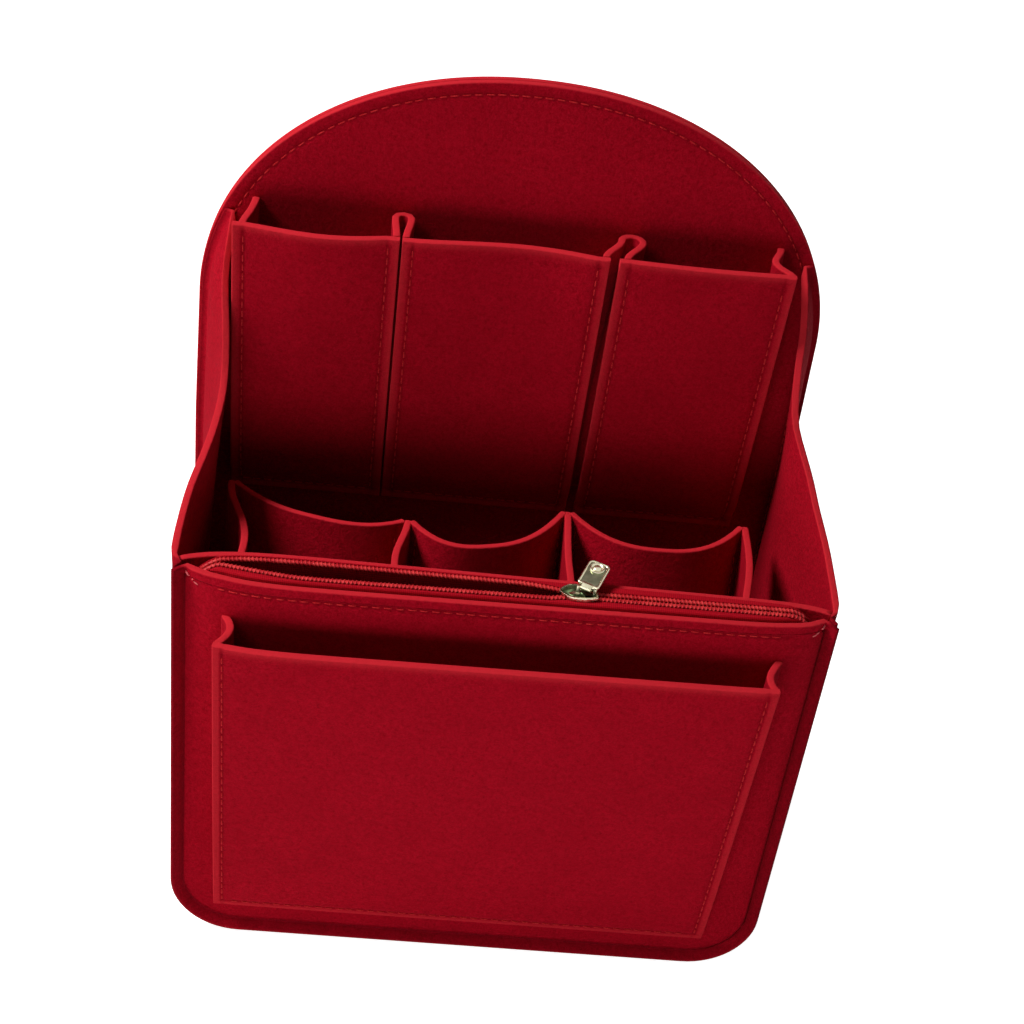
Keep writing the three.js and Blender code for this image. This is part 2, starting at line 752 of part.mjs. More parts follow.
function tallStripSpot(v) {
  const foot = tallStripFoot();
  const height = mix(foot, tallPocketTop, v);
  const front = tallStripFrontAt(height);
  const [near, far] = [tallStripFrontAt(foot), tallStripFrontAt(tallPocketTop)];
  const fullness = ((front - near) / (far - near)) ** 1.5;
  return { height, front, fullness };
}

function tallPocketFoldStrip(index) {
  const [leftInset, rightInset] = tallStripInsets[index + 1];
  const start = tallPocketSpans[index][1] - felt / 2 - leftInset;
  const end = tallPocketSpans[index + 1][0] + felt / 2 + rightInset;
  const middle = mix(start, end, 0.5);
  const near = (end - start) / 2;
  const steps = 2 * stripArmSteps + stripTurnSteps;
  return feltSheet(panelRows, steps, (u, v, column) => {
    const fromEnd = Math.min(column, steps - column, stripArmSteps);
    const { height, front, fullness } = tallStripSpot(v);
    const radius = mix(near, tallStripFoldRadii[index], fullness);
    const deep = Math.min(radius, backInner - seat - front - tallStripArmLeast);
    const foldStart = backInner - seat - deep;
    const lean = tallStripFoldLeans[index] * fullness;
    if (fromEnd < stripArmSteps) {
      const along = fromEnd / stripArmSteps;
      const side = column < steps / 2 ? -1 : 1;
      const ease = easeShare(along);
      const x = middle + lean * ease + side * mix(near, radius, ease);
      return [x, mix(front, foldStart, along), height];
    }
    const turn = Math.PI * (column - stripArmSteps) / stripTurnSteps;
    const x = middle + lean - radius * Math.cos(turn);
    return [x, foldStart + deep * Math.sin(turn), height];
  }, 'y');
}

function tallPocketEndStrip(side) {
  const index = side < 0 ? 0 : 1;
  const edge = side < 0 ? tallPocketSpans[0][0] : tallPocketSpans[2][1];
  const inset = side < 0 ? tallStripInsets[0][1] : tallStripInsets[3][0];
  const start = edge - side * (felt / 2 + inset);
  const steps = 2 * stripArmSteps;
  return feltSheet(panelRows, steps, (u, v, column) => {
    const along = (side < 0 ? column : steps - column) / steps;
    const { height, front, fullness } = tallStripSpot(v);
    const lean = tallStripEndLeans[index] * easeShare(along);
    const bow = side * humpShare(along ** 0.8) * tallStripEndBows[index];
    return [start + (lean - bow) * fullness, mix(front, backInner - seatGap, along), height];
  }, 'y');
}

// Lower pockets behind the zip pocket
const lowerSeat = (x, height) => rearDepth(x, height) + felt / 2 + seat;

function lowerClimb(height) {
  return clamp((height - lowerPocketFoot - lowerPocketLip)
    / (lowerPocketTop - lowerPocketFoot - lowerPocketLip), 0, 1);
}

function lowerJunctionDepth(index, height) {
  const [x, depth] = lowerJunctions[index];
  const foot = lowerSeat(x, height) + lowerPocketFootDepth;
  return mix(foot, depth, lowerClimb(height) ** 0.8);
}

function lowerPocketPanel(index) {
  const clear = felt / 2 + seatGap;
  const left = lowerJunctions[index][0] + clear;
  const right = lowerJunctions[index + 1][0] - clear;
  return feltSheet(panelRows + 1, 12, (u, v, column, row) => {
    const x = mix(left, right, u);
    if (row === 0) return [x, lowerSeat(x, lowerPocketFoot), lowerPocketFoot];
    const height = mix(lowerPocketFoot + lowerPocketLip, lowerPocketTop, (row - 1) / panelRows);
    const line = mix(lowerJunctionDepth(index, height), lowerJunctionDepth(index + 1, height), u);
    const fullness = 1 - Math.abs(2 * u - 1) ** lowerRimFullness;
    const sag = lowerPocketSags[index] * fullness * lowerClimb(height) ** 0.8;
    return [x, Math.max(line - sag, lowerSeat(x, height) + lowerPocketFootDepth / 2), height];
  }, 'x');
}

function lowerPocketWall(index) {
  const [junction] = lowerJunctions[index];
  let foot = lowerPocketFoot + lowerPocketLip;
  const room = (height) => lowerJunctionDepth(index, height) - lowerSeat(junction, height);
  while (room(foot) < lowerWallLeast) foot += lowerPocketLip;
  return feltSheet(panelRows, 6, (u, v) => {
    const height = mix(foot, lowerPocketTop, v);
    const climb = lowerClimb(height);
    const root = junction + lowerWallLeans[index] * climb;
    const x = mix(root, junction, easeShare(u));
    const bow = humpShare(u) * lowerWallBows[index] * climb;
    const near = lowerSeat(x, height) - felt / 2;
    return [x + bow, mix(near, lowerJunctionDepth(index, height), u), height];
  }, 'y');
}

// Materials
const feltRed = { color: 0x9a0a1c, roughness: 0.95, metalness: 0 };
const tapeRed = { color: 0xa3141f, roughness: 0.8, metalness: 0 };
const coilRed = { color: 0xc0242c, roughness: 0.45, metalness: 0 };
const nickel = { color: 0xc9c2a4, roughness: 0.3, metalness: 1 };

function piece(name, geometry, look) {
  const mesh = new THREE.Mesh(geometry, new THREE.MeshStandardMaterial(look));
  mesh.name = name;
  return mesh;
}

// Assembly, built from the front panel's face backwards
const organizer = new THREE.Group();
organizer.position.y = -bodyDepth / 2;

organizer.add(piece('front_panel', frontPanel(), feltRed));
organizer.add(piece('side_gusset', sideGusset(), feltRed));
organizer.add(piece('zip_pocket_rear_panel', zipPocketRearPanel(), feltRed));

const back = new THREE.Group();
back.position.x = bodySway;
organizer.add(back);

const outerLayer = piece('back_panel_outer', backPanelLayer(), feltRed);
outerLayer.position.y = bodyDepth;
const innerLayer = piece('back_panel_inner', backPanelLayer(), feltRed);
innerLayer.position.y = bodyDepth - backLayer - seatGap;
back.add(outerLayer, innerLayer);

tallPocketSpans.forEach((span, index) => {
  back.add(piece(`tall_pocket_panel_${index + 1}`, tallPocketPanel(index), feltRed));
});
[
  tallPocketEndStrip(-1),
  tallPocketFoldStrip(0),
  tallPocketFoldStrip(1),
  tallPocketEndStrip(1),
].forEach((geometry, index) => {
  back.add(piece(`tall_pocket_strip_${index + 1}`, geometry, feltRed));
});

lowerPocketSags.forEach((sag, index) => {
  organizer.add(piece(`lower_pocket_panel_${index + 1}`, lowerPocketPanel(index), feltRed));
});
lowerJunctions.forEach((junction, index) => {
  organizer.add(piece(`lower_pocket_divider_${index + 1}`, lowerPocketWall(index), feltRed));
});

organizer.add(piece('front_pocket_panel', frontPocketPanel(), feltRed));
organizer.add(piece('front_pocket_gusset_left', frontPocketGusset(-1), feltRed));
organizer.add(piece('front_pocket_gusset_right', frontPocketGusset(1), feltRed));

organizer.add(piece('zip_tape_front', zipTape(-1), tapeRed));
organizer.add(piece('zip_tape_rear', zipTape(1), tapeRed));
organizer.add(piece('zip_coil_front', zipCoil(-1), coilRed));
organizer.add(piece('zip_coil_rear', zipCoil(1), coilRed));

const slider = new THREE.Group();
slider.position.set(sliderNose, zipLine, zipHeight);
slider.add(piece('zip_slider_body', sliderBody(), nickel));
const pull = piece('zip_pull_tab', pullTab(), nickel);
pull.position.set(bridgePlace, 0, barHeight);
pull.rotation.set(radians(pullLift), 0, radians(-pullSkew), 'XYZ');
slider.add(pull);
organizer.add(slider);

export default organizer;
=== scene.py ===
# Looks of the felt organizer insert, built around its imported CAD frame.
# Lengths are in mm, depth runs rearwards from the front face, and meshes are scaled when they are made.
from math import copysign, cos, log, pi, radians, sin, sqrt

import bmesh
import bpy
import numpy as np
from mathutils import Matrix, Vector
from mathutils.geometry import delaunay_2d_cdt


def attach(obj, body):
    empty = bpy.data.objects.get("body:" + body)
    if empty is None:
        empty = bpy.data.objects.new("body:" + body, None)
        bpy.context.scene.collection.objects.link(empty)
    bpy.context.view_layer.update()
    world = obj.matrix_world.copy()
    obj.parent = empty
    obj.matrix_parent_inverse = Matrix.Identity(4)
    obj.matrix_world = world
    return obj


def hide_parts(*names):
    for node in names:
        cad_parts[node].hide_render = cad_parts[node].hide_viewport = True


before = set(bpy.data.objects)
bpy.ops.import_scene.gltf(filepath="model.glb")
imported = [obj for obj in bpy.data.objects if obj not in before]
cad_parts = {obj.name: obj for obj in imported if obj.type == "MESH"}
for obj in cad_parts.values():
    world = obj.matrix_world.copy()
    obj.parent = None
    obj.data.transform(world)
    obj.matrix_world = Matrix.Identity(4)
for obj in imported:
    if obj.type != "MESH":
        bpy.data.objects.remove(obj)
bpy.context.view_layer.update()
scene = bpy.context.scene
chance = np.random.default_rng(11)

# Sizes, most of them shared with the part's source
FELT = 2.4
PRESSED = 1.6
BACK_LAYER = 2.2
GAP = 0.3
PRESS_WIDTH = 4
WIDTH = 210
FRONT_HEIGHT = 163
DEPTH = 93
SWAY = -4.6
CORNER = 24.4
HEM_REACH = 2.6
DOME_SPRING = 208.3
DOME_RISE = 85.4
DOME_LEAN = 0.8
DOME_FULLNESS = 2.09
GUSSET_REAR_TOP = 241
GUSSET_RIM = [
    [0, 0], [0.1, 0.035], [0.27, 0.09], [0.45, 0.2], [0.58, 0.32],
    [0.68, 0.435], [0.76, 0.6], [0.85, 0.757], [0.93, 0.93], [1, 1],
]
WALL_BEND = 7
WALL_SHARES = [
    [0, 0.5, 0.49], [0.1, 0.46, 0.49], [0.19, 0.36, 0.49], [0.26, 0.24, 0.46], [0.33, 0.04, 0.34],
    [0.42, -0.35, 0.09], [0.5, -0.7, -0.16], [0.58, -0.95, -0.55], [0.66, -1, -0.95],
    [0.74, -0.85, -0.95], [0.82, -0.5, -0.6], [0.9, -0.1, -0.15], [0.95, 0, 0],
]
BASE_RISE = 14
FRONT_BOWS = (9.6, 7.2)
REAR_BOWS = (5.7, 3)
BOW_FULLNESS = (9, 16)
BOW_POWER = 1.3
ZIP_LINE = 0.8
ZIP_LIFT = 0.8
COIL_WIDTH = 2
COIL_HEIGHT = 1.6
ZIP_MARGINS = (11, 12)
TAPE = 0.5
TAPE_DROP = 12
TAPE_GAP = 0.5
TAPE_FLAT = 0.3
ZIP_OPENING = 4.6
ZIP_SHARES = [
    [0, -0.42, 0.85], [0.12, 0.05, 1.4], [0.26, 0.48, 1.45], [0.55, 0.76, 1.08],
    [0.83, 0.8, 0.7], [0.93, 0.57, 0.48], [1, 0.19, 0.19],
]
SLIDER_SHARE = 0.585
SLIDER_LENGTH = 12
SLIDER_POST = 1.2
SLIDER_CLEARANCE = 0.25
SLIDER_TOP = COIL_HEIGHT / 2 + SLIDER_CLEARANCE + 0.8
SLIDER_RECESS = 0.3
SLIDER_RIM = 0.4
BRIDGE = 8.3
EYE_HALF = 1.7
EYE_INNER = 0.95
EYE_OUTER = 1.45
BAR_HEIGHT = SLIDER_TOP + EYE_OUTER + SLIDER_CLEARANCE
PULL_WIDTH = 7.3
PULL_LENGTH = 11.8
PULL_NEAR = 0.5
PULL_SHOULDER = 1
PULL_CORNER = 1.8
PULL_THICK = 1
PULL_SKEW = 23
PULL_LIFT = 8
PULL_BOSS_INSET = 3.1
PULL_BOSS = (
    (2.45, -0.3), (2.4, 0.3), (2.2, 0.5), (1.9, 0.5), (1.65, 0.25),
    (1.4, 0.2), (1.25, 0.45), (0.8, 0.66), (0.3, 0.72),
)
POCKET_MARGINS = (15.4, 19)
POCKET_TOP = 149.5
POCKET_FOOT = 14
POCKET_DEPTH = 12.6
POCKET_FOOT_DEPTH = 1.2
POCKET_LIP = 5
POCKET_ROOT_LEANS = (0.5, 2.6)
POCKET_GUSSET_BOWS = (2.7, 2)
TALL_TOP = 246
TALL_FOOT = 134
TALL_LIP = 4
TALL_DEPTH = 17.4
TALL_FOOT_DEPTH = 2.4
TALL_MARGINS = (13.2, 17.1)
TALL_JUNCTIONS = (-0.369, 0.2786)
TALL_GAPS = (0.7, 2.9)
TALL_EDGE_FLAT = 4.2
TALL_SAGS = (-3.3, 3, -0.8)
TALL_PEAKS = (0.55, 0.6, 0.5)
END_INSETS = (1.85, 0)
FOLD_INSETS = (0, 1.6)
FOLD_LEANS = (0.15, 5.6)
FOLD_RADII = (2.6, 3.5)
END_LEANS = (2.5, -1.7)
END_BOWS = (0.4, 3.9)
STRIP_LEAST = 4
STRIP_ARM_LEAST = 0.4
STRIP_SUNK = 0.4
SEWN_SUNK = 0.6
TALL_STANDOFF = 9
TALL_STANDOFF_FROM = 3
LOWER_TOP = 155
LOWER_FOOT = 30
LOWER_LIP = 5
LOWER_FOOT_DEPTH = 1.2
LOWER_MARGINS = (11.8, 22.9)
LOWER_JUNCTIONS = (-0.316, 0.199)
LOWER_DEPTHS = (0.627, 0.477, 0.613, 0.616)
LOWER_LEANS = (7.2, -2.8, 0.3, -4.6)
LOWER_BOWS = (3.4, -1.6, -0.6, 1.2)
LOWER_SAGS = (9.2, 16.4, 16.8)
LOWER_LEAST = 5
LOWER_FULLNESS = 2.6

HALF = WIDTH / 2
WALL_INSET = HEM_REACH + FELT / 2
ZIP_HEIGHT = FRONT_HEIGHT + ZIP_LIFT
CORD = 0.66
SEAT = FELT / 2 + GAP
SEWN_SEAT = FELT / 2 - SEWN_SUNK
FLANGE_LEAN = 0.7
HEM_TIP = PRESSED / 2 * sqrt(0.5)
ZIP_LEFT = ZIP_MARGINS[0] - HALF
ZIP_RIGHT = HALF - ZIP_MARGINS[1]
NOSE = ZIP_LEFT + (ZIP_RIGHT - ZIP_LEFT) * SLIDER_SHARE
POCKET_EDGES = (POCKET_MARGINS[0] - HALF, HALF - POCKET_MARGINS[1])
TALL_MIDDLES = [share * HALF for share in TALL_JUNCTIONS]
TALL_SPANS = [
    (TALL_MARGINS[0] - HALF, TALL_MIDDLES[0] - TALL_GAPS[0] / 2),
    (TALL_MIDDLES[0] + TALL_GAPS[0] / 2, TALL_MIDDLES[1] - TALL_GAPS[1] / 2),
    (TALL_MIDDLES[1] + TALL_GAPS[1] / 2, HALF - TALL_MARGINS[1]),
]
LOWER_X = [LOWER_MARGINS[0] - HALF, *[share * HALF for share in LOWER_JUNCTIONS], HALF - LOWER_MARGINS[1]]
LOWER_SPOTS = [(x, DEPTH * share) for x, share in zip(LOWER_X, LOWER_DEPTHS)]
CREASE = WALL_INSET + FELT / 4
REAR_INSET = WALL_INSET + FELT / 2 + GAP
REAR_SEAT = FELT + GAP + FELT / 2
HEM_STEP = (PRESSED + GAP) * sqrt(2)
GUSSET_CREASE = FELT / 2 - CREASE + HEM_STEP + WALL_INSET
GUSSET_HEM = GUSSET_CREASE - (WALL_INSET - HEM_TIP)
BACK_INNER = DEPTH - 2 * BACK_LAYER - GAP
BACK_SEAT = BACK_INNER - SEAT
REAR_CREASE = BACK_INNER - GAP - PRESSED / 2
BACK_LAYERS = {"outer": DEPTH - BACK_LAYER / 2, "inner": DEPTH - BACK_LAYER * 1.5 - GAP}

# Detail that only the looks have
CUT_ROUND = 0.7
CUT_RINGS = [share * CUT_ROUND for share in (0, 0.02, 0.1, 0.3, 0.6, 1)]
STITCH_PITCH = 3.7
STITCH_LENGTH = 2.7
STITCH_SHAPE = (
    (0, -0.5, 0.5), (0.08, 0.15, 0.9), (0.3, 0.62, 1), (0.7, 0.62, 1), (0.92, 0.15, 0.9), (1, -0.5, 0.5),
)
THREAD = 0.26
GROOVE = 0.34
GROOVE_WIDTH = 0.75
THREAD_SEAT = 0.02 - GROOVE
SEAM_SHADE = 0.42
RIM_SEAM = 4.1
DOME_SEAM = 4.3
RIM_MARGINS = (15, 14)
TACK_X = (4.4, 11.5)
TACK_DROP = (1.6, 6.4)
FRONT_FILL = 9.2
REAR_FILL = 7.2
DOME_FILL = 7.6
# Strengths of painted shade on hems, creases and outer edges, and the width over which the hem shade fades.
HEM_SHADES = (0.22, 0.5)
HEM_FADE = 0.6
GUSSET_SHADE = 0.6
CREASE_SHADE = 0.4
EDGE_SHADE = 0.4
LIP_ROLL = 1.6
LIP_HEIGHT = 10
# Width and strength of the painted highlight along the pocket panels' edge bands.
EDGE_BAND = 2.8
EDGE_BAND_SHADE = 0.5
CORNER_DROOP = 1.5
CORNER_REACH = 12
COIL_PITCH = 1.25
WIRE = 0.33
DIVE = 4.5
DIVE_REACH = 4
SLIDER_ROUND = 0.16

# Light and camera
WORLD_LIGHT = 0.07
FLOOR_GLOW = 0.95
FLOOR_REACH = 6
FLOOR_LEVEL = -0.0003
PICTURE = 1024
FOCAL_PIXELS = 1835
CAMERA_SPOT = (-0.0399317, -0.4937993, 0.5192782)
CAMERA_ANGLES = (53.8414058, -6.3217888, -0.1463577)


def mix(a, b, share):
    return a + (b - a) * share


def clamp(value, low, high):
    return np.minimum(high, np.maximum(low, value))


def unit(value):
    return clamp(value, 0, 1)


def ease(share):
    return share * share * (3 - 2 * share)


def hump(share):
    return np.sin(np.pi * share) ** 2


def read_shares(table, share, column=1):
    """A smooth curve through one column of a table, read at a share of its length."""
    places, values = np.array(table, float)[:, [0, column]].T
    wide, tall = np.pad(places, 1, "edge"), np.pad(values, 1, "edge")
    slopes = (tall[2:] - tall[:-2]) / (wide[2:] - wide[:-2])
    at = clamp(share, places[0], places[-1])
    row = np.clip(np.searchsorted(places, at) - 1, 0, len(places) - 2)
    width = places[row + 1] - places[row]
    t = (at - places[row]) / width
    pull = t * (1 - t) * (1 - t) * slopes[row] * width + t * t * (t - 1) * slopes[row + 1] * width
    return mix(values[row], values[row + 1], ease(t)) + pull


def one_long(ways):
    """Vectors brought to a length of 1."""
    return ways / np.maximum(np.linalg.norm(ways, axis=-1, keepdims=True), 1e-9)


def arc_along(path):
    """Arc length at each point of a path."""
    return np.concatenate([[0], np.cumsum(np.linalg.norm(np.diff(path, axis=0), axis=1))])


def climb_from(height, foot, lip, top):
    """How far up a pocket a height is, past its sewn lip."""
    return unit((height - foot - lip) / (top - foot - lip))


# Surfaces of the part, each the middle of its felt
def sway_at(depth):
    return SWAY * unit(depth / DEPTH)


def side_x(height, inset):
    lean = DOME_LEAN * unit((height - FRONT_HEIGHT) / (DOME_SPRING - FRONT_HEIGHT))
    share = unit((height - DOME_SPRING) / (DOME_RISE - inset))
    return (HALF - lean - inset) * (1 - share ** DOME_FULLNESS) ** (1 / DOME_FULLNESS)


def wall_shift(depth, height, top, side):
    climb = unit((height - CORNER) / (top - CORNER))
    left, right = (read_shares(WALL_SHARES, depth / DEPTH, column) for column in (1, 2))
    return WALL_BEND * np.where(side < 0, left, right) * climb * climb


def body_inset(x, height):
    """How far inside the front panel's outline a place is."""
    flat = HALF - CORNER
    across, above = np.abs(x) - flat, CORNER - height
    corner = CORNER - np.hypot(np.maximum(across, 0), np.maximum(above, 0))
    return np.minimum(np.minimum(corner, HALF - np.abs(x)), np.maximum(height, 0))


def bow_at(x, height, reach, bows):
    across = clamp(x / reach, -1, 1)
    fullness = np.where(across < 0, BOW_FULLNESS[0], BOW_FULLNESS[1])
    profile = 1 - np.abs(across) ** fullness
    rise = unit(height / FRONT_HEIGHT) ** BOW_POWER
    return mix(bows[0], bows[1], (across + 1) / 2) * profile * rise


def front_depth(x, height):
    return FELT / 2 - bow_at(x, height, HALF - CREASE, FRONT_BOWS)


def rear_depth(x, height):
    return REAR_SEAT + bow_at(x, height, HALF - REAR_INSET, REAR_BOWS)


def gusset_top(depth):
    return mix(FRONT_HEIGHT, GUSSET_REAR_TOP, read_shares(GUSSET_RIM, unit(depth / REAR_CREASE)))


def coil_inset(x, column):
    closed = GAP / 2
    at_nose = SLIDER_POST / 2 + SLIDER_CLEARANCE
    past = mix(at_nose, closed, ease(unit((x - NOSE) / (SLIDER_LENGTH * 0.75))))
    before = ZIP_OPENING * read_shares(ZIP_SHARES, (x - ZIP_LEFT) / (NOSE - ZIP_LEFT), column)
    return np.where(x >= NOSE, past, before)


def lip_back(x, height):
    """How far the front panel's rim rolls back."""
    share = unit((height - FRONT_HEIGHT + LIP_HEIGHT) / LIP_HEIGHT)
    return LIP_ROLL * share ** 1.5 * unit((HALF - CREASE - np.abs(x)) / 12)


def tape_wall(x, side, height):
    off = FELT / 2 + TAPE_GAP + TAPE / 2
    if side > 0:
        return rear_depth(x, height) - off
    return front_depth(x, height) + lip_back(x, height) + off


def coil_spot(x, side):
    column = 1 if side < 0 else 2
    wanted = ZIP_LINE + side * (coil_inset(x, column) + COIL_WIDTH / 2)
    room = tape_wall(x, side, FRONT_HEIGHT) - side * (COIL_WIDTH / 2 + GAP + TAPE)
    if side > 0:
        return np.minimum(wanted, room)
    return np.minimum(np.maximum(wanted, room), coil_spot(x, 1) - COIL_WIDTH - GAP)


def pocket_depth(x, height):
    climb = climb_from(height, POCKET_FOOT, POCKET_LIP, POCKET_TOP) ** 0.8
    return front_depth(x, height) - FELT - GAP - mix(POCKET_FOOT_DEPTH, POCKET_DEPTH, climb)


def tall_depth(height):
    climb = climb_from(height, TALL_FOOT, TALL_LIP, TALL_TOP) ** 0.85
    return BACK_SEAT - mix(TALL_FOOT_DEPTH, TALL_DEPTH, climb)


def tall_strip_foot():
    height = TALL_FOOT + TALL_LIP
    while BACK_SEAT - tall_depth(height) < STRIP_LEAST:
        height += TALL_LIP
    return height


def tall_strip_front(height):
    """Depth of a strip's front edge, and how open the pocket is there."""
    foot, here, top = (tall_depth(at) + FELT / 2 + GAP for at in (tall_strip_foot(), height, TALL_TOP))
    return here, unit((here - foot) / (top - foot)) ** 1.5


def lower_seat(x, height):
    return rear_depth(x, height) + FELT / 2 + SEAT


def lower_climb(height):
    return climb_from(height, LOWER_FOOT, LOWER_LIP, LOWER_TOP)


def lower_junction(index, height):
    x, depth = LOWER_SPOTS[index]
    return mix(lower_seat(x, height) + LOWER_FOOT_DEPTH, depth, lower_climb(height) ** 0.8)


# Mesh making
def new_object(name, data):
    thing = bpy.data.objects.new(name, data)
    scene.collection.objects.link(thing)
    return thing


def shade_smooth(mesh):
    mesh.polygons.foreach_set("use_smooth", [True] * len(mesh.polygons))
    mesh.update()


def make_object(name, points, faces, material, body, slot, grain=None, **layers):
    """A mesh from points in mm (x, depth, height), placed in the shared frame and riding a body."""
    spots = np.array(points, float) - np.array([0, DEPTH / 2, 0])
    mesh = bpy.data.meshes.new(name)
    mesh.from_pydata((spots / 1000).tolist(), [], [list(map(int, face)) for face in faces])
    shade_smooth(mesh)
    for label, values in layers.items():
        layer = mesh.attributes.new(label, "FLOAT", "POINT")
        layer.data.foreach_set("value", np.asarray(values, np.float32))
    if grain is not None:
        uv = mesh.uv_layers.new(name="grain")
        corners = np.zeros(len(mesh.loops), np.int32)
        mesh.loops.foreach_get("vertex_index", corners)
        uv.data.foreach_set("uv", (np.asarray(grain, np.float32)[corners] / 10).ravel())
    mesh.materials.append(material)
    thing = new_object(name, mesh)
    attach(thing, body)
    return thing


def felt_object(name, points, normals, half, faces, border, pressed, grain, band=0):
    """A felt node's piece: a sheet's two faces, closed along the places where its half thickness is 0."""
    count = len(points)
    inner = half > 1e-6
    rear = np.arange(count)
    rear[inner] = count + np.arange(int(inner.sum()))
    spots = np.vstack([points + normals * half[:, None], (points - normals * half[:, None])[inner]])
    both = [tuple(face) for face in faces] + [tuple(rear[list(face)][::-1]) for face in faces]
    # The cut share is a painted highlight on the rounded cut edges and along an edge band, dimmed where
    # painted shade lies.
    cut = np.maximum(1 - unit(border / CUT_ROUND), EDGE_BAND_SHADE * unit((band - border) / 0.8))
    cut = cut * (1 - unit(1.4 * pressed))
    cut, pressed, grain = (np.concatenate([values, values[inner]]) for values in (cut, pressed, grain))
    piece = make_object(
        name + "_felt", spots, both, FELT_LOOK, "felt_body", "felt", grain, cut=cut, pressed=pressed)
    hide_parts(name)
    return piece


def cut_half(distance, thickness):
    """Half the felt's thickness near a cut edge, rounded as cut felt is."""
    share = unit(1 - distance / CUT_ROUND)
    return thickness / 2 * (1 - share ** 4) ** 0.25


def joined_rings(rings, points, faces, capped=True):
    """Add a skin over rings to a mesh's points and faces, with both ends closed or neither."""
    count = len(rings[0])
    base = len(points)
    top = base + (len(rings) - 1) * count
    for ring in rings:
        points.extend(ring)
    for low in range(base, top, count):
        for step in range(count):
            after = (step + 1) % count
            faces.append((low + step, low + after, low + count + after, low + count + step))
    if capped:
        faces.append(tuple(range(base, base + count))[::-1])
        faces.append(tuple(range(top, top + count)))


def grid_faces(shape):
    """The numbers of a grid's points, and its quads."""
    index = np.arange(shape[0] * shape[1]).reshape(shape)
    corners = [index[:-1, :-1], index[:-1, 1:], index[1:, 1:], index[1:, :-1]]
    return index, np.stack(corners, -1).reshape(-1, 4)


def circle_angles(count):
    return [2 * pi * step / count for step in range(count)]


def around_seam(place, steps=(-1.4, -0.8, -0.4, 0, 0.4, 0.8, 1.4)):
    return [place + step * GROOVE_WIDTH for step in steps]


def stations(length, marks, spacing):
    """Places along a length: crowded at its cut ends and across its seams."""
    fixed = CUT_RINGS + [length - place for place in CUT_RINGS]
    for mark in marks:
        fixed += around_seam(mark, (-1.6, -0.8, -0.4, 0, 0.4, 0.8, 1.6))
    count = max(2, int(round(length / spacing)))
    kept = sorted(place for place in fixed if 0 <= place <= length)
    for place in (length * step / count for step in range(1, count)):
        if min(abs(place - other) for other in kept) > 0.35 * spacing:
            kept.append(place)
    kept = np.array(sorted(kept))
    return kept[np.append(True, np.diff(kept) > 0.008)]


def arc_of(surface, along, other):
    """Arc length along one direction of a surface, at a share of the other."""
    shares = np.linspace(0, 1, 401)
    still = np.full_like(shares, other)
    return shares, arc_along(surface(shares, still) if along == "u" else surface(still, shares))


def normals_of(surface, u, v, du, dv):
    across = surface(unit(u + du), v) - surface(unit(u - du), v)
    upward = surface(u, unit(v + dv)) - surface(u, unit(v - dv))
    return one_long(np.cross(across, upward))


def stitch_mesh(name, rows, material):
    """Short raised threads. Each row holds starts, ends and the outward way of its stitches."""
    points, faces = [], []
    for start, end, way in (stitch for row in rows for stitch in zip(*row)):
        along = end - start
        if np.linalg.norm(along) < 0.3:
            continue
        sideways = one_long(np.cross(way, along))
        circle = [sideways * cos(angle) + way * sin(angle) for angle in circle_angles(6)]
        rings = []
        for share, lift, size in STITCH_SHAPE:
            middle = start + along * share + way * lift * THREAD
            rings.append([middle + spot * THREAD * size for spot in circle])
        joined_rings(rings, points, faces)
    if points:
        make_object(name, points, faces, material, "felt_body", "felt")


def stitch_row(path, ways, skip=0):
    """Starts, ends and outward ways of stitches along a dense path."""
    arc = arc_along(path)
    count = int((arc[-1] - skip) // STITCH_PITCH)
    starts = skip + np.arange(count) * STITCH_PITCH + chance.uniform(-0.12, 0.12, count)
    stops = starts + STITCH_LENGTH + chance.uniform(-0.2, 0.2, count)

    def at(places, table):
        return np.stack([np.interp(places, arc, column) for column in table.T], 1)

    return at(starts, path), at(stops, path), one_long(at((starts + stops) / 2, ways))


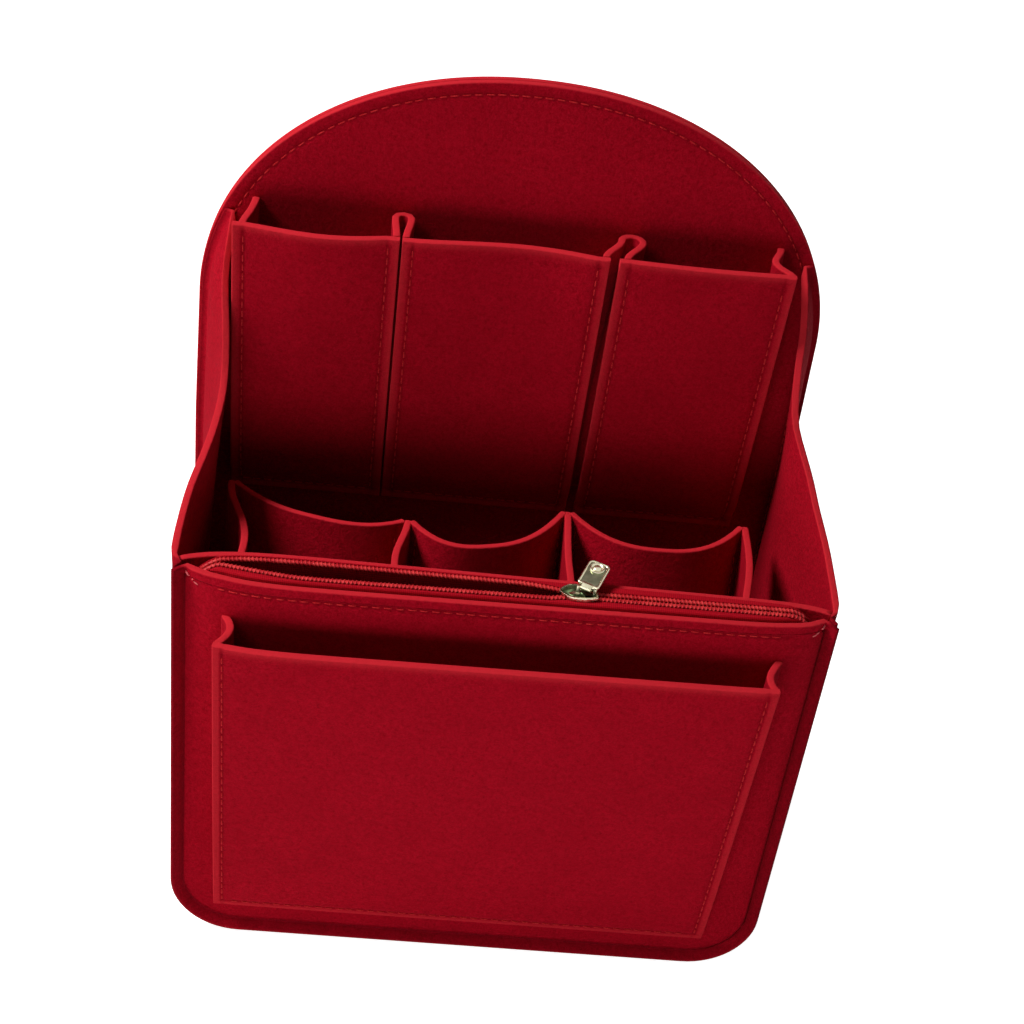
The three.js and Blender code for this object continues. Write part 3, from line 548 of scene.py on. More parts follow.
def felt_piece(name, surface, shift=0, spacing=2.4, seams=(), band=0,
               thickness_at=lambda u, v: FELT, pressed_at=lambda u, v: 0 * u):
    """A felt node rebuilt as a closed sheet with rounded cut edges, sewn grooves and its stitches.

    A seam is (edges, distance from them, which faces show it, and the range along it as shares)."""
    shares_u, arc_u = arc_of(surface, "u", 0.6)
    shares_v, arc_v = arc_of(surface, "v", 0.5)
    long_u, long_v = arc_u[-1], arc_v[-1]
    lines = []
    for edges, distance, *rest in seams:
        for edge in edges:
            vertical = edge in "lr"
            far = long_u if vertical else long_v
            lines.append((vertical, distance if edge in "lb" else far - distance, *rest))
    place_u, place_v = (
        stations(length, [line[1] for line in lines if line[0] == vertical], spacing)
        for length, vertical in ((long_u, True), (long_v, False))
    )

    def at(su, sv):
        u, v = np.interp(su, arc_u, shares_u), np.interp(sv, arc_v, shares_v)
        ways = normals_of(surface, u, v, 0.25 / long_u, 0.25 / long_v)
        return u, v, surface(u, v) + np.array([shift, 0, 0]), ways

    su, sv = np.meshgrid(place_u, place_v)
    u, v, points, normals = at(su, sv)
    border = np.min([su, long_u - su, sv, long_v - sv], 0)
    half = cut_half(border, thickness_at(u, v))
    pressed = pressed_at(u, v)
    for vertical, place, _, low, high in lines:
        along = sv / long_v if vertical else su / long_u
        inside = unit((along - low) * 40 + 1) * unit((high - along) * 40 + 1)
        groove = np.exp(-(((su if vertical else sv) - place) / GROOVE_WIDTH) ** 2) * inside
        half = half - GROOVE * groove * (half > 0.5)
        # Painted shade in each seam's groove.
        pressed = np.maximum(pressed, SEAM_SHADE * groove)
    _, quads = grid_faces(su.shape)
    felt_object(
        name, points.reshape(-1, 3), normals.reshape(-1, 3), half.ravel(), quads, border.ravel(),
        pressed.ravel(), np.stack([su.ravel(), sv.ravel()], 1), band)
    threads = []
    for vertical, place, sides, low, high in lines:
        run = np.linspace(low, high, 400) * (long_v if vertical else long_u)
        still = np.full_like(run, place)
        *_, path, ways = at(still, run) if vertical else at(run, still)
        for side in sides:
            way = ways * side
            threads.append(stitch_row(path + way * (FELT / 2 + THREAD_SEAT), way, chance.uniform(1, 2)))
    stitch_mesh(name + "_stitches", threads, THREAD_LOOK)


def planar_normals(depth_at, x, z):
    """Outward ways of a panel's front face."""
    step = 0.2
    slope_x = (depth_at(x + step, z) - depth_at(x - step, z)) / (2 * step)
    slope_z = (depth_at(x, z + step) - depth_at(x, z - step)) / (2 * step)
    return one_long(np.stack([slope_x, -np.ones_like(x), slope_z], 1))


def panel_net(ring_at, insets, border_of, fill_from, pitch):
    """Places and faces of a flat outline: rings of quads along its edge and a triangle fill inside them."""
    rings = [ring_at(inset) for inset in insets]
    places, faces = [], []
    joined_rings(rings, places, faces, False)
    count, last = len(rings[0]), len(places) - len(rings[0])
    low, high = rings[0].min(0), rings[0].max(0)
    x, z = np.meshgrid(np.arange(low[0], high[0], pitch), np.arange(low[1], high[1], pitch * 0.87))
    x = x + (np.arange(len(x)) % 2)[:, None] * pitch / 2
    inside = border_of(x, z) > fill_from
    filled = [Vector(place) for place in [*rings[-1], *zip(x[inside], z[inside])]]
    edge = [(step, (step + 1) % count) for step in range(count)]
    spots, _, triangles, origins, *_ = delaunay_2d_cdt(filled, edge, [], 1, 1e-5)
    number = []
    for spot, origin in zip(spots, origins):
        on_ring = [index for index in origin if index < count]
        number.append(last + on_ring[0] if on_ring else len(places))
        if not on_ring:
            places.append(tuple(spot))
    inner = [tuple(number[corner] for corner in triangle) for triangle in triangles]
    return np.array(places), inner + faces, count


def panel_spots(depth_at, x, z, shift):
    """Places on a panel, moved sideways with the body's sway or by a given shift."""
    depth = depth_at(x, z)
    return np.stack([x + (sway_at(depth) if shift is None else shift), depth, z], 1)


def panel_piece(name, ring_at, insets, fill_from, depth_at, border_of, thickness_at, seam_at, pitch,
                shift=None, pressed_at=None, lift_at=None):
    """A felt node with a free outline, rebuilt as a closed sheet over the X-Z plane."""
    flat, faces, count = panel_net(ring_at, insets, border_of, fill_from, pitch)
    x, z = flat[:, 0], flat[:, 1]
    border = np.maximum(border_of(x, z), 0)
    border[:count] = 0
    points = panel_spots(depth_at, x, z, shift)
    if lift_at is not None:
        points[:, 2] += lift_at(x, z)
    half = cut_half(border, 1.0) * (thickness_at(x, z) - 2 * GROOVE * seam_at(x, z))
    # Painted shade in the seam's groove, joined by any other painted shade the panel is given.
    pressed = SEAM_SHADE * seam_at(x, z)
    if pressed_at is not None:
        pressed = np.maximum(pressed, pressed_at(x, z))
    return felt_object(name, points, planar_normals(depth_at, x, z), half, faces, border, pressed, flat)


def planar_row(depth_at, path, half, side=1, shift=None, skip=0.0):
    """Stitches along a path on a panel's front face."""
    x, z = path[:, 0], path[:, 1]
    way = planar_normals(depth_at, x, z) * side
    return stitch_row(panel_spots(depth_at, x, z, shift) + way * half, way, skip)


# Materials
def sRGB(red, green, blue):
    """A colour of 0 to 255 in linear values."""
    shares = [channel / 255 for channel in (red, green, blue)]
    return [((share + 0.055) / 1.055) ** 2.4 if share > 0.0393 else share / 12.92 for share in shares] + [1]


def fill(tree, node, inputs):
    """Set a node's inputs, each to a value or to another node's output."""
    for label, value in inputs.items():
        if isinstance(value, bpy.types.NodeSocket):
            tree.links.new(value, node.inputs[label])
        else:
            node.inputs[label].default_value = value


def add_node(tree, kind, inputs=None, **settings):
    node = tree.nodes.new("ShaderNode" + kind)
    for label, value in settings.items():
        setattr(node, label, value)
    fill(tree, node, inputs or {})
    return node


def calc(tree, operation, first, second):
    return add_node(tree, "Math", {0: first, 1: second}, operation=operation).outputs[0]


def new_look(name):
    material = bpy.data.materials.new(name)
    material.use_nodes = True
    return material, material.node_tree, material.node_tree.nodes["Principled BSDF"]


def noise(tree, scale, detail=3, roughness=0.6):
    spots = add_node(tree, "TexCoord").outputs["Object"]
    inputs = {"Vector": spots, "Scale": scale, "Detail": detail, "Roughness": roughness}
    return add_node(tree, "TexNoise", inputs).outputs["Fac"]


def ramp(tree, source, low, high, start=0, end=1):
    inputs = {"Value": source, "From Min": low, "From Max": high, "To Min": start, "To Max": end}
    return add_node(tree, "MapRange", inputs).outputs["Result"]


def blend(tree, share, first, second):
    return add_node(tree, "Mix", {0: share, 6: first, 7: second}, data_type="RGBA").outputs[2]


def bump(tree, height, strength, distance):
    inputs = {"Height": height, "Strength": strength, "Distance": distance}
    return add_node(tree, "Bump", inputs).outputs["Normal"]


def felt_look():
    material, tree, shader = new_look("felt_red")
    cut, pressed = (
        add_node(tree, "Attribute", attribute_name=label).outputs["Fac"] for label in ("cut", "pressed"))
    mottle, fibre = noise(tree, 620, 3, 0.65), noise(tree, 1500, 4, 0.8)
    base = blend(tree, ramp(tree, mottle, 0.34, 0.66), sRGB(144, 3, 20), sRGB(174, 7, 30))
    for share, colour in (
        (ramp(tree, fibre, 0.42, 0.7, 0, 0.7), (198, 20, 44)),
        (ramp(tree, noise(tree, 1250, 2), 0.34, 0.46, 0.28, 0), (104, 1, 12)),
        (ramp(tree, noise(tree, 60), 0.35, 0.65, 0.22, 0), (140, 3, 20)),
        # painted shade on hems, creases, outer edges and seam grooves
        (ramp(tree, pressed, 0, 1, 0, 0.75), (92, 2, 12)),
        # painted highlight on the rounded cut edges and along the edge bands
        (ramp(tree, cut, 0.05, 0.8, 0, 0.75), (216, 44, 54)),
    ):
        base = blend(tree, share, base, sRGB(*colour))
    height = calc(tree, "ADD", mottle, ramp(tree, fibre, 0, 1, 0, 0.6))
    fill(tree, shader, {
        "Base Color": base, "Roughness": 0.95, "Specular IOR Level": 0.04, "Sheen Weight": 0.07,
        "Sheen Roughness": 0.45, "Sheen Tint": sRGB(255, 70, 85),
        "Normal": bump(tree, height, 0.8, 0.0004),
    })
    return material


def tape_look():
    material, tree, shader = new_look("zip_tape_red")
    grain = add_node(tree, "UVMap", uv_map="grain").outputs["UV"]
    inputs = {"Vector": grain, "Scale": 5.2, "Distortion": 0.4}
    warp, weft = (add_node(tree, "TexWave", inputs, bands_direction=way).outputs["Fac"] for way in "XY")
    both = calc(tree, "ADD", warp, weft)
    fill(tree, shader, {
        "Base Color": blend(tree, ramp(tree, both, 0.3, 1.6), sRGB(152, 9, 24), sRGB(196, 21, 38)),
        "Roughness": 0.85, "Specular IOR Level": 0.03, "Normal": bump(tree, both, 0.5, 0.0001),
    })
    return material


def toned_look(name, low, high, grain, spread, roughness, specular=0.5, metallic=0, relief=None):
    """A material between two colours, told apart by a noise of the grain's scale, detail and roughness.

    Relief is a noise like it, with a strength and a distance."""
    material, tree, shader = new_look(name)
    tone, ends = noise(tree, *grain), (0.5 - spread, 0.5 + spread)
    if isinstance(roughness, tuple):
        roughness = ramp(tree, tone, *ends, *roughness)
    fill(tree, shader, {
        "Base Color": blend(tree, ramp(tree, tone, *ends), sRGB(*low), sRGB(*high)),
        "Roughness": roughness, "Specular IOR Level": specular, "Metallic": metallic,
    })
    if relief:
        fill(tree, shader, {"Normal": bump(tree, noise(tree, *relief[0]), *relief[1:])})
    return material


FELT_LOOK = felt_look()
TAPE_LOOK = tape_look()
SPUN = {"grain": (2600, 2, 0.5), "spread": 0.15, "roughness": 0.6, "specular": 0.03,
        "relief": ((2600, 2, 0.5), 0.4, 0.0001)}
THREAD_LOOK = toned_look("thread_red", (172, 18, 28), (208, 46, 50), **SPUN)
TACK_LOOK = toned_look("thread_pale", (216, 74, 84), (238, 128, 128), **SPUN)
COIL_LOOK = toned_look("zip_coil_red", (184, 24, 34), (214, 54, 56), (300, 2, 0.5), 0.15, 0.42, 0.2)
NICKEL_LOOK = toned_look(
    "nickel", (196, 190, 160), (224, 218, 190), (260, 3, 0.6), 0.2, (0.2, 0.32), metallic=1,
    relief=((2400, 2, 0.5), 0.15, 0.00005))
SUNK = {"grain": (420, 3, 0.6), "spread": 0.2, "roughness": 0.34, "metallic": 1}
SLIDER_FIELD_LOOK = toned_look("slider_field", (58, 74, 46), (104, 118, 84), **SUNK)
PULL_FIELD_LOOK = toned_look("pull_field", (104, 110, 86), (140, 142, 118), **SUNK)
FRONT, BOTH = (1,), (1, -1)


# Front panel, with its hem flared outwards and forwards
def corner_turn(inset):
    """The outline's lower left corner at an inset."""
    radius, flat = CORNER - inset, HALF - CORNER
    turn = np.linspace(0, np.pi / 2, 15)[1:]
    return [(-flat - radius * cos(a), CORNER - radius * sin(a)) for a in turn]


def foot_line(inset, spacing):
    flat = HALF - CORNER
    return [(x, inset) for x in np.linspace(-flat, flat, int(2 * flat / spacing) + 1)[1:-1]]


def mirrored(line):
    return [(-x, z) for x, z in line[::-1]]


def path_ring(inset, top, spacing=2.0):
    """The front outline at an inset, closed along a straight top edge, with as many points at any inset."""
    side = HALF - inset
    down = np.linspace(top, CORNER, int((FRONT_HEIGHT - CORNER) / spacing) + 1)
    left = [(-side, z) for z in down] + corner_turn(inset)
    across = np.linspace(side, -side, int(WIDTH / spacing) + 1)[1:-1]
    return np.array(left + foot_line(inset, spacing) + mirrored(left) + [(x, top) for x in across])


def hem_rise(inset):
    soft = 0.7
    past = CREASE - inset
    return np.where(past < -soft, 0, np.where(past > soft, past, (past + soft) ** 2 / (4 * soft)))


def corner_droop(x, z):
    """The rim's right corner hangs a little lower than the rest."""
    near = unit((x - HALF + CORNER_REACH) / CORNER_REACH)
    return -CORNER_DROOP * near ** 2 * unit((z - FRONT_HEIGHT + 30) / 30)


def front_panel_depth(x, z):
    return front_depth(x, z) - hem_rise(body_inset(x, z)) + lip_back(x, z)


# Painted shade on the flared hem: less along the foot than up the sides, more in the crease and along the
# outer edge.
def front_pressed(x, z):
    inset = body_inset(x, z)
    hem = unit((CREASE + HEM_FADE / 2 - inset) / HEM_FADE)
    level = mix(HEM_SHADES[0], HEM_SHADES[1], unit((z - 8) / 20))
    crease = CREASE_SHADE * np.exp(-((CREASE - 1 - inset) / 0.9) ** 2)
    edge = EDGE_SHADE * unit(1 - inset / 1.4)
    return unit(level + crease + edge) * hem


def front_panel_thickness(x, z):
    return mix(PRESSED, FELT, ease(unit((body_inset(x, z) - CREASE) / 2.5)))


def sewn(x, z):
    """How deep a place lies in the groove of the rim's seam."""
    rim = (FRONT_HEIGHT - z - RIM_SEAM) / GROOVE_WIDTH
    return np.exp(-rim ** 2) * unit((HALF - RIM_MARGINS[1] - np.abs(x)) / 3)


def front_border(x, z):
    return np.minimum(body_inset(x, z) - HEM_TIP, FRONT_HEIGHT - z)


def rim_rows(depth_at, margin, side):
    """The row of stitches below a panel's straight top edge."""
    x = np.linspace(margin - HALF, HALF - margin, 400)
    path = np.stack([x, np.full_like(x, FRONT_HEIGHT - RIM_SEAM)], 1)
    return [planar_row(depth_at, path, FELT / 2 + THREAD_SEAT, side)]


SEAM_RINGS = around_seam(RIM_SEAM)
panel_piece(
    "front_panel", lambda inset: path_ring(HEM_TIP + inset, FRONT_HEIGHT - inset),
    CUT_RINGS + [1.4, 2.1, 2.7, 3.1] + SEAM_RINGS + [5.6, 6.8, 8.2], FRONT_FILL,
    front_panel_depth, front_border, front_panel_thickness, sewn, 3.0, None, front_pressed, corner_droop,
)
stitch_mesh("front_panel_stitches", rim_rows(front_panel_depth, RIM_MARGINS[0], 1), THREAD_LOOK)
tacks = []
for side in (-1, 1):
    x = side * (HALF - np.linspace(*TACK_X, 400))
    path = np.stack([x, FRONT_HEIGHT - np.linspace(*TACK_DROP, 400)], 1)
    tacks.append(planar_row(front_panel_depth, path, FELT / 2))
stitch_mesh("front_panel_tacks", tacks, TACK_LOOK)


# Rear panel of the zip pocket
def rear_border(x, z):
    return np.minimum(body_inset(x, z) - REAR_INSET, FRONT_HEIGHT - z)


rear_piece = panel_piece(
    "zip_pocket_rear_panel", lambda inset: path_ring(REAR_INSET + inset, FRONT_HEIGHT - inset),
    CUT_RINGS + [1.4, 2.4] + SEAM_RINGS + [6.2], REAR_FILL, rear_depth, rear_border,
    lambda x, z: FELT, lambda x, z: sewn(x * 0.97, z), 3.2,
)
for vertex in rear_piece.data.vertices:
    x, z = vertex.co.x * 1000, vertex.co.z * 1000
    side = -1 if x < 0 else 1
    bulge = wall_shift(rear_depth(x, z), z, FRONT_HEIGHT, side) * unit((abs(x) - 60) / 30)
    vertex.co.x += side * bulge / 1000
stitch_mesh("zip_pocket_rear_stitches", rim_rows(rear_depth, RIM_MARGINS[1], -1), THREAD_LOOK)


# Back panel: two layers with a domed top
def dome_ring(inset, spacing=2.2):
    left = corner_turn(inset)
    rise = np.linspace(CORNER, DOME_SPRING, int((DOME_SPRING - CORNER) / spacing) + 1)
    right = [(side_x(z, inset), z) for z in rise]
    arch = []
    for angle in np.linspace(0, np.pi, 150)[1:-1]:
        z = DOME_SPRING + (DOME_RISE - inset) * sin(angle) ** (2 / DOME_FULLNESS)
        arch.append((copysign(1, cos(angle)) * side_x(z, inset), z))
    foot = left + foot_line(inset, spacing) + mirrored(left)
    return np.array(foot + right + arch + mirrored(right), float)


def dome_inset(x, z):
    """How far inside the back's outline a place is."""
    low = body_inset(x, np.minimum(z, DOME_SPRING))
    lean = DOME_LEAN * unit((z - FRONT_HEIGHT) / (DOME_SPRING - FRONT_HEIGHT))
    a, b = HALF - DOME_LEAN, DOME_RISE
    px, pz = np.abs(x) / a, np.maximum(z - DOME_SPRING, 0) / b
    n = DOME_FULLNESS
    level = px ** n + pz ** n
    slope = np.hypot(n * px ** (n - 1) / a, n * pz ** (n - 1) / b)
    high = (1 - level) / np.maximum(slope, 1e-6)
    return np.where(z > DOME_SPRING, high, low - lean)


def dome_seam(x, z):
    return np.exp(-((dome_inset(x, z) - DOME_SEAM) / GROOVE_WIDTH) ** 2)


def flat_at(depth):
    return lambda x, z: np.full_like(x, depth)


for layer, middle in BACK_LAYERS.items():
    panel_piece(
        "back_panel_" + layer, dome_ring, CUT_RINGS + [1.4, 2.2] + around_seam(DOME_SEAM) + [6.4],
        DOME_FILL, flat_at(middle), dome_inset, lambda x, z: BACK_LAYER, dome_seam, 3.4, SWAY,
    )
seam = dome_ring(DOME_SEAM)
seam = np.vstack([seam, seam[:1]])
stitch_mesh("back_panel_stitches", [
    planar_row(flat_at(BACK_LAYERS[layer]), seam, BACK_LAYER / 2 + THREAD_SEAT, side, SWAY, 1.0)
    for layer, side in (("outer", -1), ("inner", 1))
], THREAD_LOOK)


# Gusset strip: its section is a pressed hem, the wall, and a pressed flange on the back panel
def rounded(corners, radii, steps=8):
    """A line of corners with its bends rounded."""
    line = [np.array(corners[0], float)]
    for before, corner, after, radius in zip(corners, corners[1:], corners[2:], radii):
        before, corner, after = (np.array(place, float) for place in (before, corner, after))
        start, stop = (corner + radius * one_long(other - corner) for other in (before, after))
        for step in range(steps + 1):
            t = step / steps
            line.append((1 - t) ** 2 * start + 2 * t * (1 - t) * corner + t * t * stop)
    line.append(np.array(corners[-1], float))
    return np.array(line)


SECTION = rounded(
    [(HEM_TIP, GUSSET_HEM), (WALL_INSET, GUSSET_CREASE), (WALL_INSET, REAR_CREASE),
     (PRESSED / 2, REAR_CREASE + FLANGE_LEAN)],
    (1.6, 1.3),
)
SECTION_ARC = arc_along(SECTION)
SIDE_SHARE = 0.36
CORNER_SHARE = 0.07


def section_at(v):
    """Inset and depth at a share of the section."""
    return (np.interp(v * SECTION_ARC[-1], SECTION_ARC, column) for column in SECTION.T)


def gusset_surface(u, v):
    inset, depth = section_at(v)
    top = gusset_top(depth)
    side = np.where(u <= 0.5, -1.0, 1.0)
    along = np.minimum(u, 1 - u)
    radius, flat = CORNER - inset, HALF - CORNER
    down = unit(along / SIDE_SHARE)
    height = mix(top, CORNER, down)
    turn = unit((along - SIDE_SHARE) / CORNER_SHARE)
    angle = turn * np.pi / 2
    base = unit((along - SIDE_SHARE - CORNER_SHARE) / (0.5 - SIDE_SHARE - CORNER_SHARE))
    x_low = np.where(turn < 1, flat + radius * np.cos(angle), flat * (1 - base))
    x = np.where(down < 1, side_x(height, inset), x_low)
    height = np.where(down < 1, height, np.where(turn < 1, CORNER - radius * np.sin(angle), inset))
    reach = unit((WALL_INSET - inset) / HEM_FADE)
    shift = wall_shift(depth, height, top, side) * (1 - reach)
    from_seam = np.minimum(depth - GUSSET_CREASE, REAR_CREASE - depth)
    sag = (WALL_INSET - FELT / 2) * ease(turn) * unit(from_seam / (BASE_RISE - GUSSET_CREASE))
    near_front = unit(1 - depth / CORNER_REACH) ** 2 * (side > 0) * (1 - down) ** 8
    height = height - sag - CORNER_DROOP * near_front
    return np.stack([side * (x + shift) + sway_at(depth), depth, height], -1)


def gusset_thickness(u, v):
    _, depth = section_at(v)
    front = unit((depth - GUSSET_CREASE) / PRESS_WIDTH)
    rear = unit((REAR_CREASE - depth) / PRESS_WIDTH)
    return mix(PRESSED, FELT, ease(np.minimum(front, rear)))


# Painted shade on the gusset's hem.
def gusset_pressed(u, v):
    inset, _ = section_at(v)
    return GUSSET_SHADE * unit((WALL_INSET - 0.5 - inset) / HEM_FADE)


felt_piece(
    "side_gusset", gusset_surface, spacing=2.6, thickness_at=gusset_thickness, pressed_at=gusset_pressed)


# Front pocket
def upright(foot, top, spot):
    """A surface from foot to top, whose spot gives x and depth at a share across and a height."""
    def surface(u, v):
        height = mix(foot, top, v)
        x, depth = spot(u, height)
        return np.stack([x, depth, height], -1)

    return surface


def front_pocket_spot(u, height):
    x = mix(*POCKET_EDGES, u)
    lip = unit((height - POCKET_FOOT) / POCKET_LIP)
    return x, mix(front_depth(x, height) - FELT - GAP, pocket_depth(x, height), lip)


felt_piece(
    "front_pocket_panel", upright(POCKET_FOOT, POCKET_TOP, front_pocket_spot), spacing=2.6,
    seams=[("l", 3.2, BOTH, 0.02, 0.985), ("r", 3.4, BOTH, 0.02, 0.985), ("b", 3.0, FRONT, 0.03, 0.97)],
    band=EDGE_BAND,
)


def pocket_gusset_surface(side):
    index = 0 if side < 0 else 1
    edge = POCKET_EDGES[index] - side * FELT / 2
    places = [edge - FELT / 2, edge, edge + FELT / 2]

    def spot(u, height):
        front = np.max([pocket_depth(place, height) for place in places], 0) + SEWN_SEAT
        back = np.min([front_depth(place, height) for place in places], 0) - SEWN_SEAT
        lean = POCKET_ROOT_LEANS[index] * ease(u)
        bow = side * np.sin(np.pi * u) ** 0.9 * POCKET_GUSSET_BOWS[index]
        return edge + (lean - bow) * (back - front) / POCKET_DEPTH, mix(front, back, u)

    return upright(POCKET_FOOT + 3 * POCKET_LIP, POCKET_TOP, spot)


felt_piece("front_pocket_gusset_left", pocket_gusset_surface(-1), spacing=1.1)
felt_piece("front_pocket_gusset_right", pocket_gusset_surface(1), spacing=1.1)


# Tall pockets
def tall_panel_surface(index):
    """A panel with flat side edges, which lies on the back below its bottom seam."""
    peak = log(0.5) / log(TALL_PEAKS[index])
    left, right = TALL_SPANS[index]

    def spot(u, height):
        x = mix(left, right, u)
        across = clamp((x - left - TALL_EDGE_FLAT) / (right - left - 2 * TALL_EDGE_FLAT), 1e-9, 1)
        climb = climb_from(height, TALL_FOOT, TALL_LIP, TALL_TOP)
        sag = np.sin(np.pi * across ** peak) * TALL_SAGS[index] * climb
        off = ease(unit((height - TALL_FOOT - TALL_STANDOFF_FROM) / TALL_STANDOFF))
        return x, mix(BACK_SEAT, tall_depth(height) + sag, off)

    return upright(TALL_FOOT, TALL_TOP, spot)


for index in range(3):
    felt_piece(
        f"tall_pocket_panel_{index + 1}", tall_panel_surface(index), SWAY, 2.6,
        seams=[("lr", 3.6, BOTH, 0.02, 0.98), ("b", 2.9, FRONT, 0.04, 0.96)],
        band=EDGE_BAND,
    )


def fold_strip_surface(index):
    start = TALL_SPANS[index][1] - FELT / 2
    end = TALL_SPANS[index + 1][0] + FELT / 2 + FOLD_INSETS[index]
    middle, near = (start + end) / 2, (end - start) / 2
    arm, turns = 4, 6
    steps = 2 * arm + turns

    def spot(u, height):
        column = u * steps
        from_end = np.minimum(np.minimum(column, steps - column), arm)
        front, fullness = tall_strip_front(height)
        radius = mix(near, FOLD_RADII[index], fullness)
        deep = np.minimum(radius, BACK_SEAT - front - STRIP_ARM_LEAST)
        lean = FOLD_LEANS[index] * fullness
        fold = BACK_SEAT - deep
        along = from_end / arm
        side = np.where(column < steps / 2, -1.0, 1.0)
        x_arm = middle + lean * ease(along) + side * mix(near, radius, ease(along))
        turn = np.pi * unit((column - arm) / turns)
        folded = from_end >= arm
        x = np.where(folded, middle + lean - radius * np.cos(turn), x_arm)
        return x, np.where(folded, fold + deep * np.sin(turn), mix(front, fold, along))

    return upright(tall_strip_foot(), TALL_TOP, spot)


def end_strip_surface(side):
    index = 0 if side < 0 else 1
    edge = TALL_SPANS[0][0] if side < 0 else TALL_SPANS[2][1]
    start = edge - side * (FELT / 2 + END_INSETS[index])

    def spot(u, height):
        along = u if side < 0 else 1 - u
        front, fullness = tall_strip_front(height)
        lean = END_LEANS[index] * ease(along)
        bow = side * hump(along ** 0.8) * END_BOWS[index]
        depth = mix(front - GAP - STRIP_SUNK, BACK_INNER + STRIP_SUNK, along)
        return start + (lean - bow) * fullness, depth

    return upright(tall_strip_foot(), TALL_TOP, spot)


for index, surface in enumerate(
    [end_strip_surface(-1), fold_strip_surface(0), fold_strip_surface(1), end_strip_surface(1)]
):
    felt_piece(f"tall_pocket_strip_{index + 1}", surface, SWAY, 1.5)


# Lower pockets behind the zip pocket
def lower_panel_surface(index):
    clear = FELT / 2 + GAP
    left = LOWER_SPOTS[index][0] + clear
    right = LOWER_SPOTS[index + 1][0] - clear

    def spot(u, height):
        x = mix(left, right, u)
        line = mix(lower_junction(index, height), lower_junction(index + 1, height), u)
        fullness = 1 - np.abs(2 * u - 1) ** LOWER_FULLNESS
        sag = LOWER_SAGS[index] * fullness * lower_climb(height) ** 0.8
        depth = np.maximum(line - sag, lower_seat(x, height) + LOWER_FOOT_DEPTH / 2)
        lip = unit((height - LOWER_FOOT) / LOWER_LIP)
        return x, mix(lower_seat(x, LOWER_FOOT), depth, lip)

    return upright(LOWER_FOOT, LOWER_TOP, spot)


def lower_wall_surface(index):
    junction = LOWER_SPOTS[index][0]
    foot = LOWER_FOOT + LOWER_LIP
    while lower_junction(index, foot) - lower_seat(junction, foot) < LOWER_LEAST:
        foot += LOWER_LIP

    def spot(u, height):
        climb = lower_climb(height)
        x = mix(junction + LOWER_LEANS[index] * climb, junction, ease(u))
        near = lower_seat(x, height) - FELT / 2
        return x + hump(u) * LOWER_BOWS[index] * climb, mix(near, lower_junction(index, height), u)

    return upright(foot, LOWER_TOP, spot)


for index in range(3):
    felt_piece(
        f"lower_pocket_panel_{index + 1}", lower_panel_surface(index), 0, 2.4,
        seams=[("lr", 3.0, BOTH, 0.02, 0.98)],
    )
for index in range(4):
    felt_piece(f"lower_pocket_divider_{index + 1}", lower_wall_surface(index), 0, 1.8)


# Zip tapes and coils
def end_dive(x):
    """How far the zip's ends turn down into the pocket."""
    past = np.maximum(ZIP_LEFT + DIVE_REACH - x, x - ZIP_RIGHT + DIVE_REACH)
    return DIVE * unit(past / (2 * DIVE_REACH)) ** 1.6


def tape_surface(side):
    drop = TAPE_DROP + ZIP_LIFT

    def surface(u, v):
        x = mix(ZIP_LEFT - DIVE_REACH, ZIP_RIGHT + DIVE_REACH, u)
        inner = coil_spot(x, side) + side * (COIL_WIDTH / 2 + GAP)
        flat, share = v < TAPE_FLAT, unit(v / TAPE_FLAT)
        height = ZIP_HEIGHT - drop * unit((v - TAPE_FLAT) / (1 - TAPE_FLAT))
        wall = tape_wall(x, side, np.minimum(height, FRONT_HEIGHT))
        depth = np.where(flat, mix(inner, wall, share), wall)
        return np.stack([x, depth, height - end_dive(x)], -1)

    return surface


def tape_piece(name, side):
    u, v = np.meshgrid(np.linspace(0, 1, 220), np.array([0, 0.1, 0.2, 0.27, 0.3, 0.33, 0.4, 0.6, 0.8, 1]))
    surface = tape_surface(side)
    points = surface(u, v).reshape(-1, 3)
    off = normals_of(surface, u, v, 0.004, 0.04).reshape(-1, 3) * TAPE / 2
    index, quads = grid_faces(u.shape)
    count = len(points)
    faces = [tuple(face) for face in quads] + [tuple(face[::-1] + count) for face in quads]
    edge = [*index[0], *index[1:, -1], *index[-1, ::-1][1:], *index[::-1, 0][1:]]
    for first, second in zip(edge, edge[1:]):
        faces.append((second, first, first + count, second + count))
    grain = np.stack([(ZIP_RIGHT - ZIP_LEFT) * u.ravel(), 14 * v.ravel()], 1)
    piece = make_object(
        name + "_woven", np.vstack([points + off, points - off]), faces, TAPE_LOOK, "felt_body", "zip_tape",
        np.vstack([grain, grain]))
    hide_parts(name)


def add_tube(path, radius, points, faces, sides=6):
    """Add a closed tube along a dense path to a mesh's points and faces."""
    along = one_long(np.gradient(path, axis=0))
    first = one_long(np.cross(along, np.array([0.13, 0.2, 0.97])))
    second = np.cross(along, first)
    angles = np.array(circle_angles(sides))[None, :, None]
    circles = first[:, None] * np.cos(angles) + second[:, None] * np.sin(angles)
    joined_rings(path[:, None] + radius * circles, points, faces)


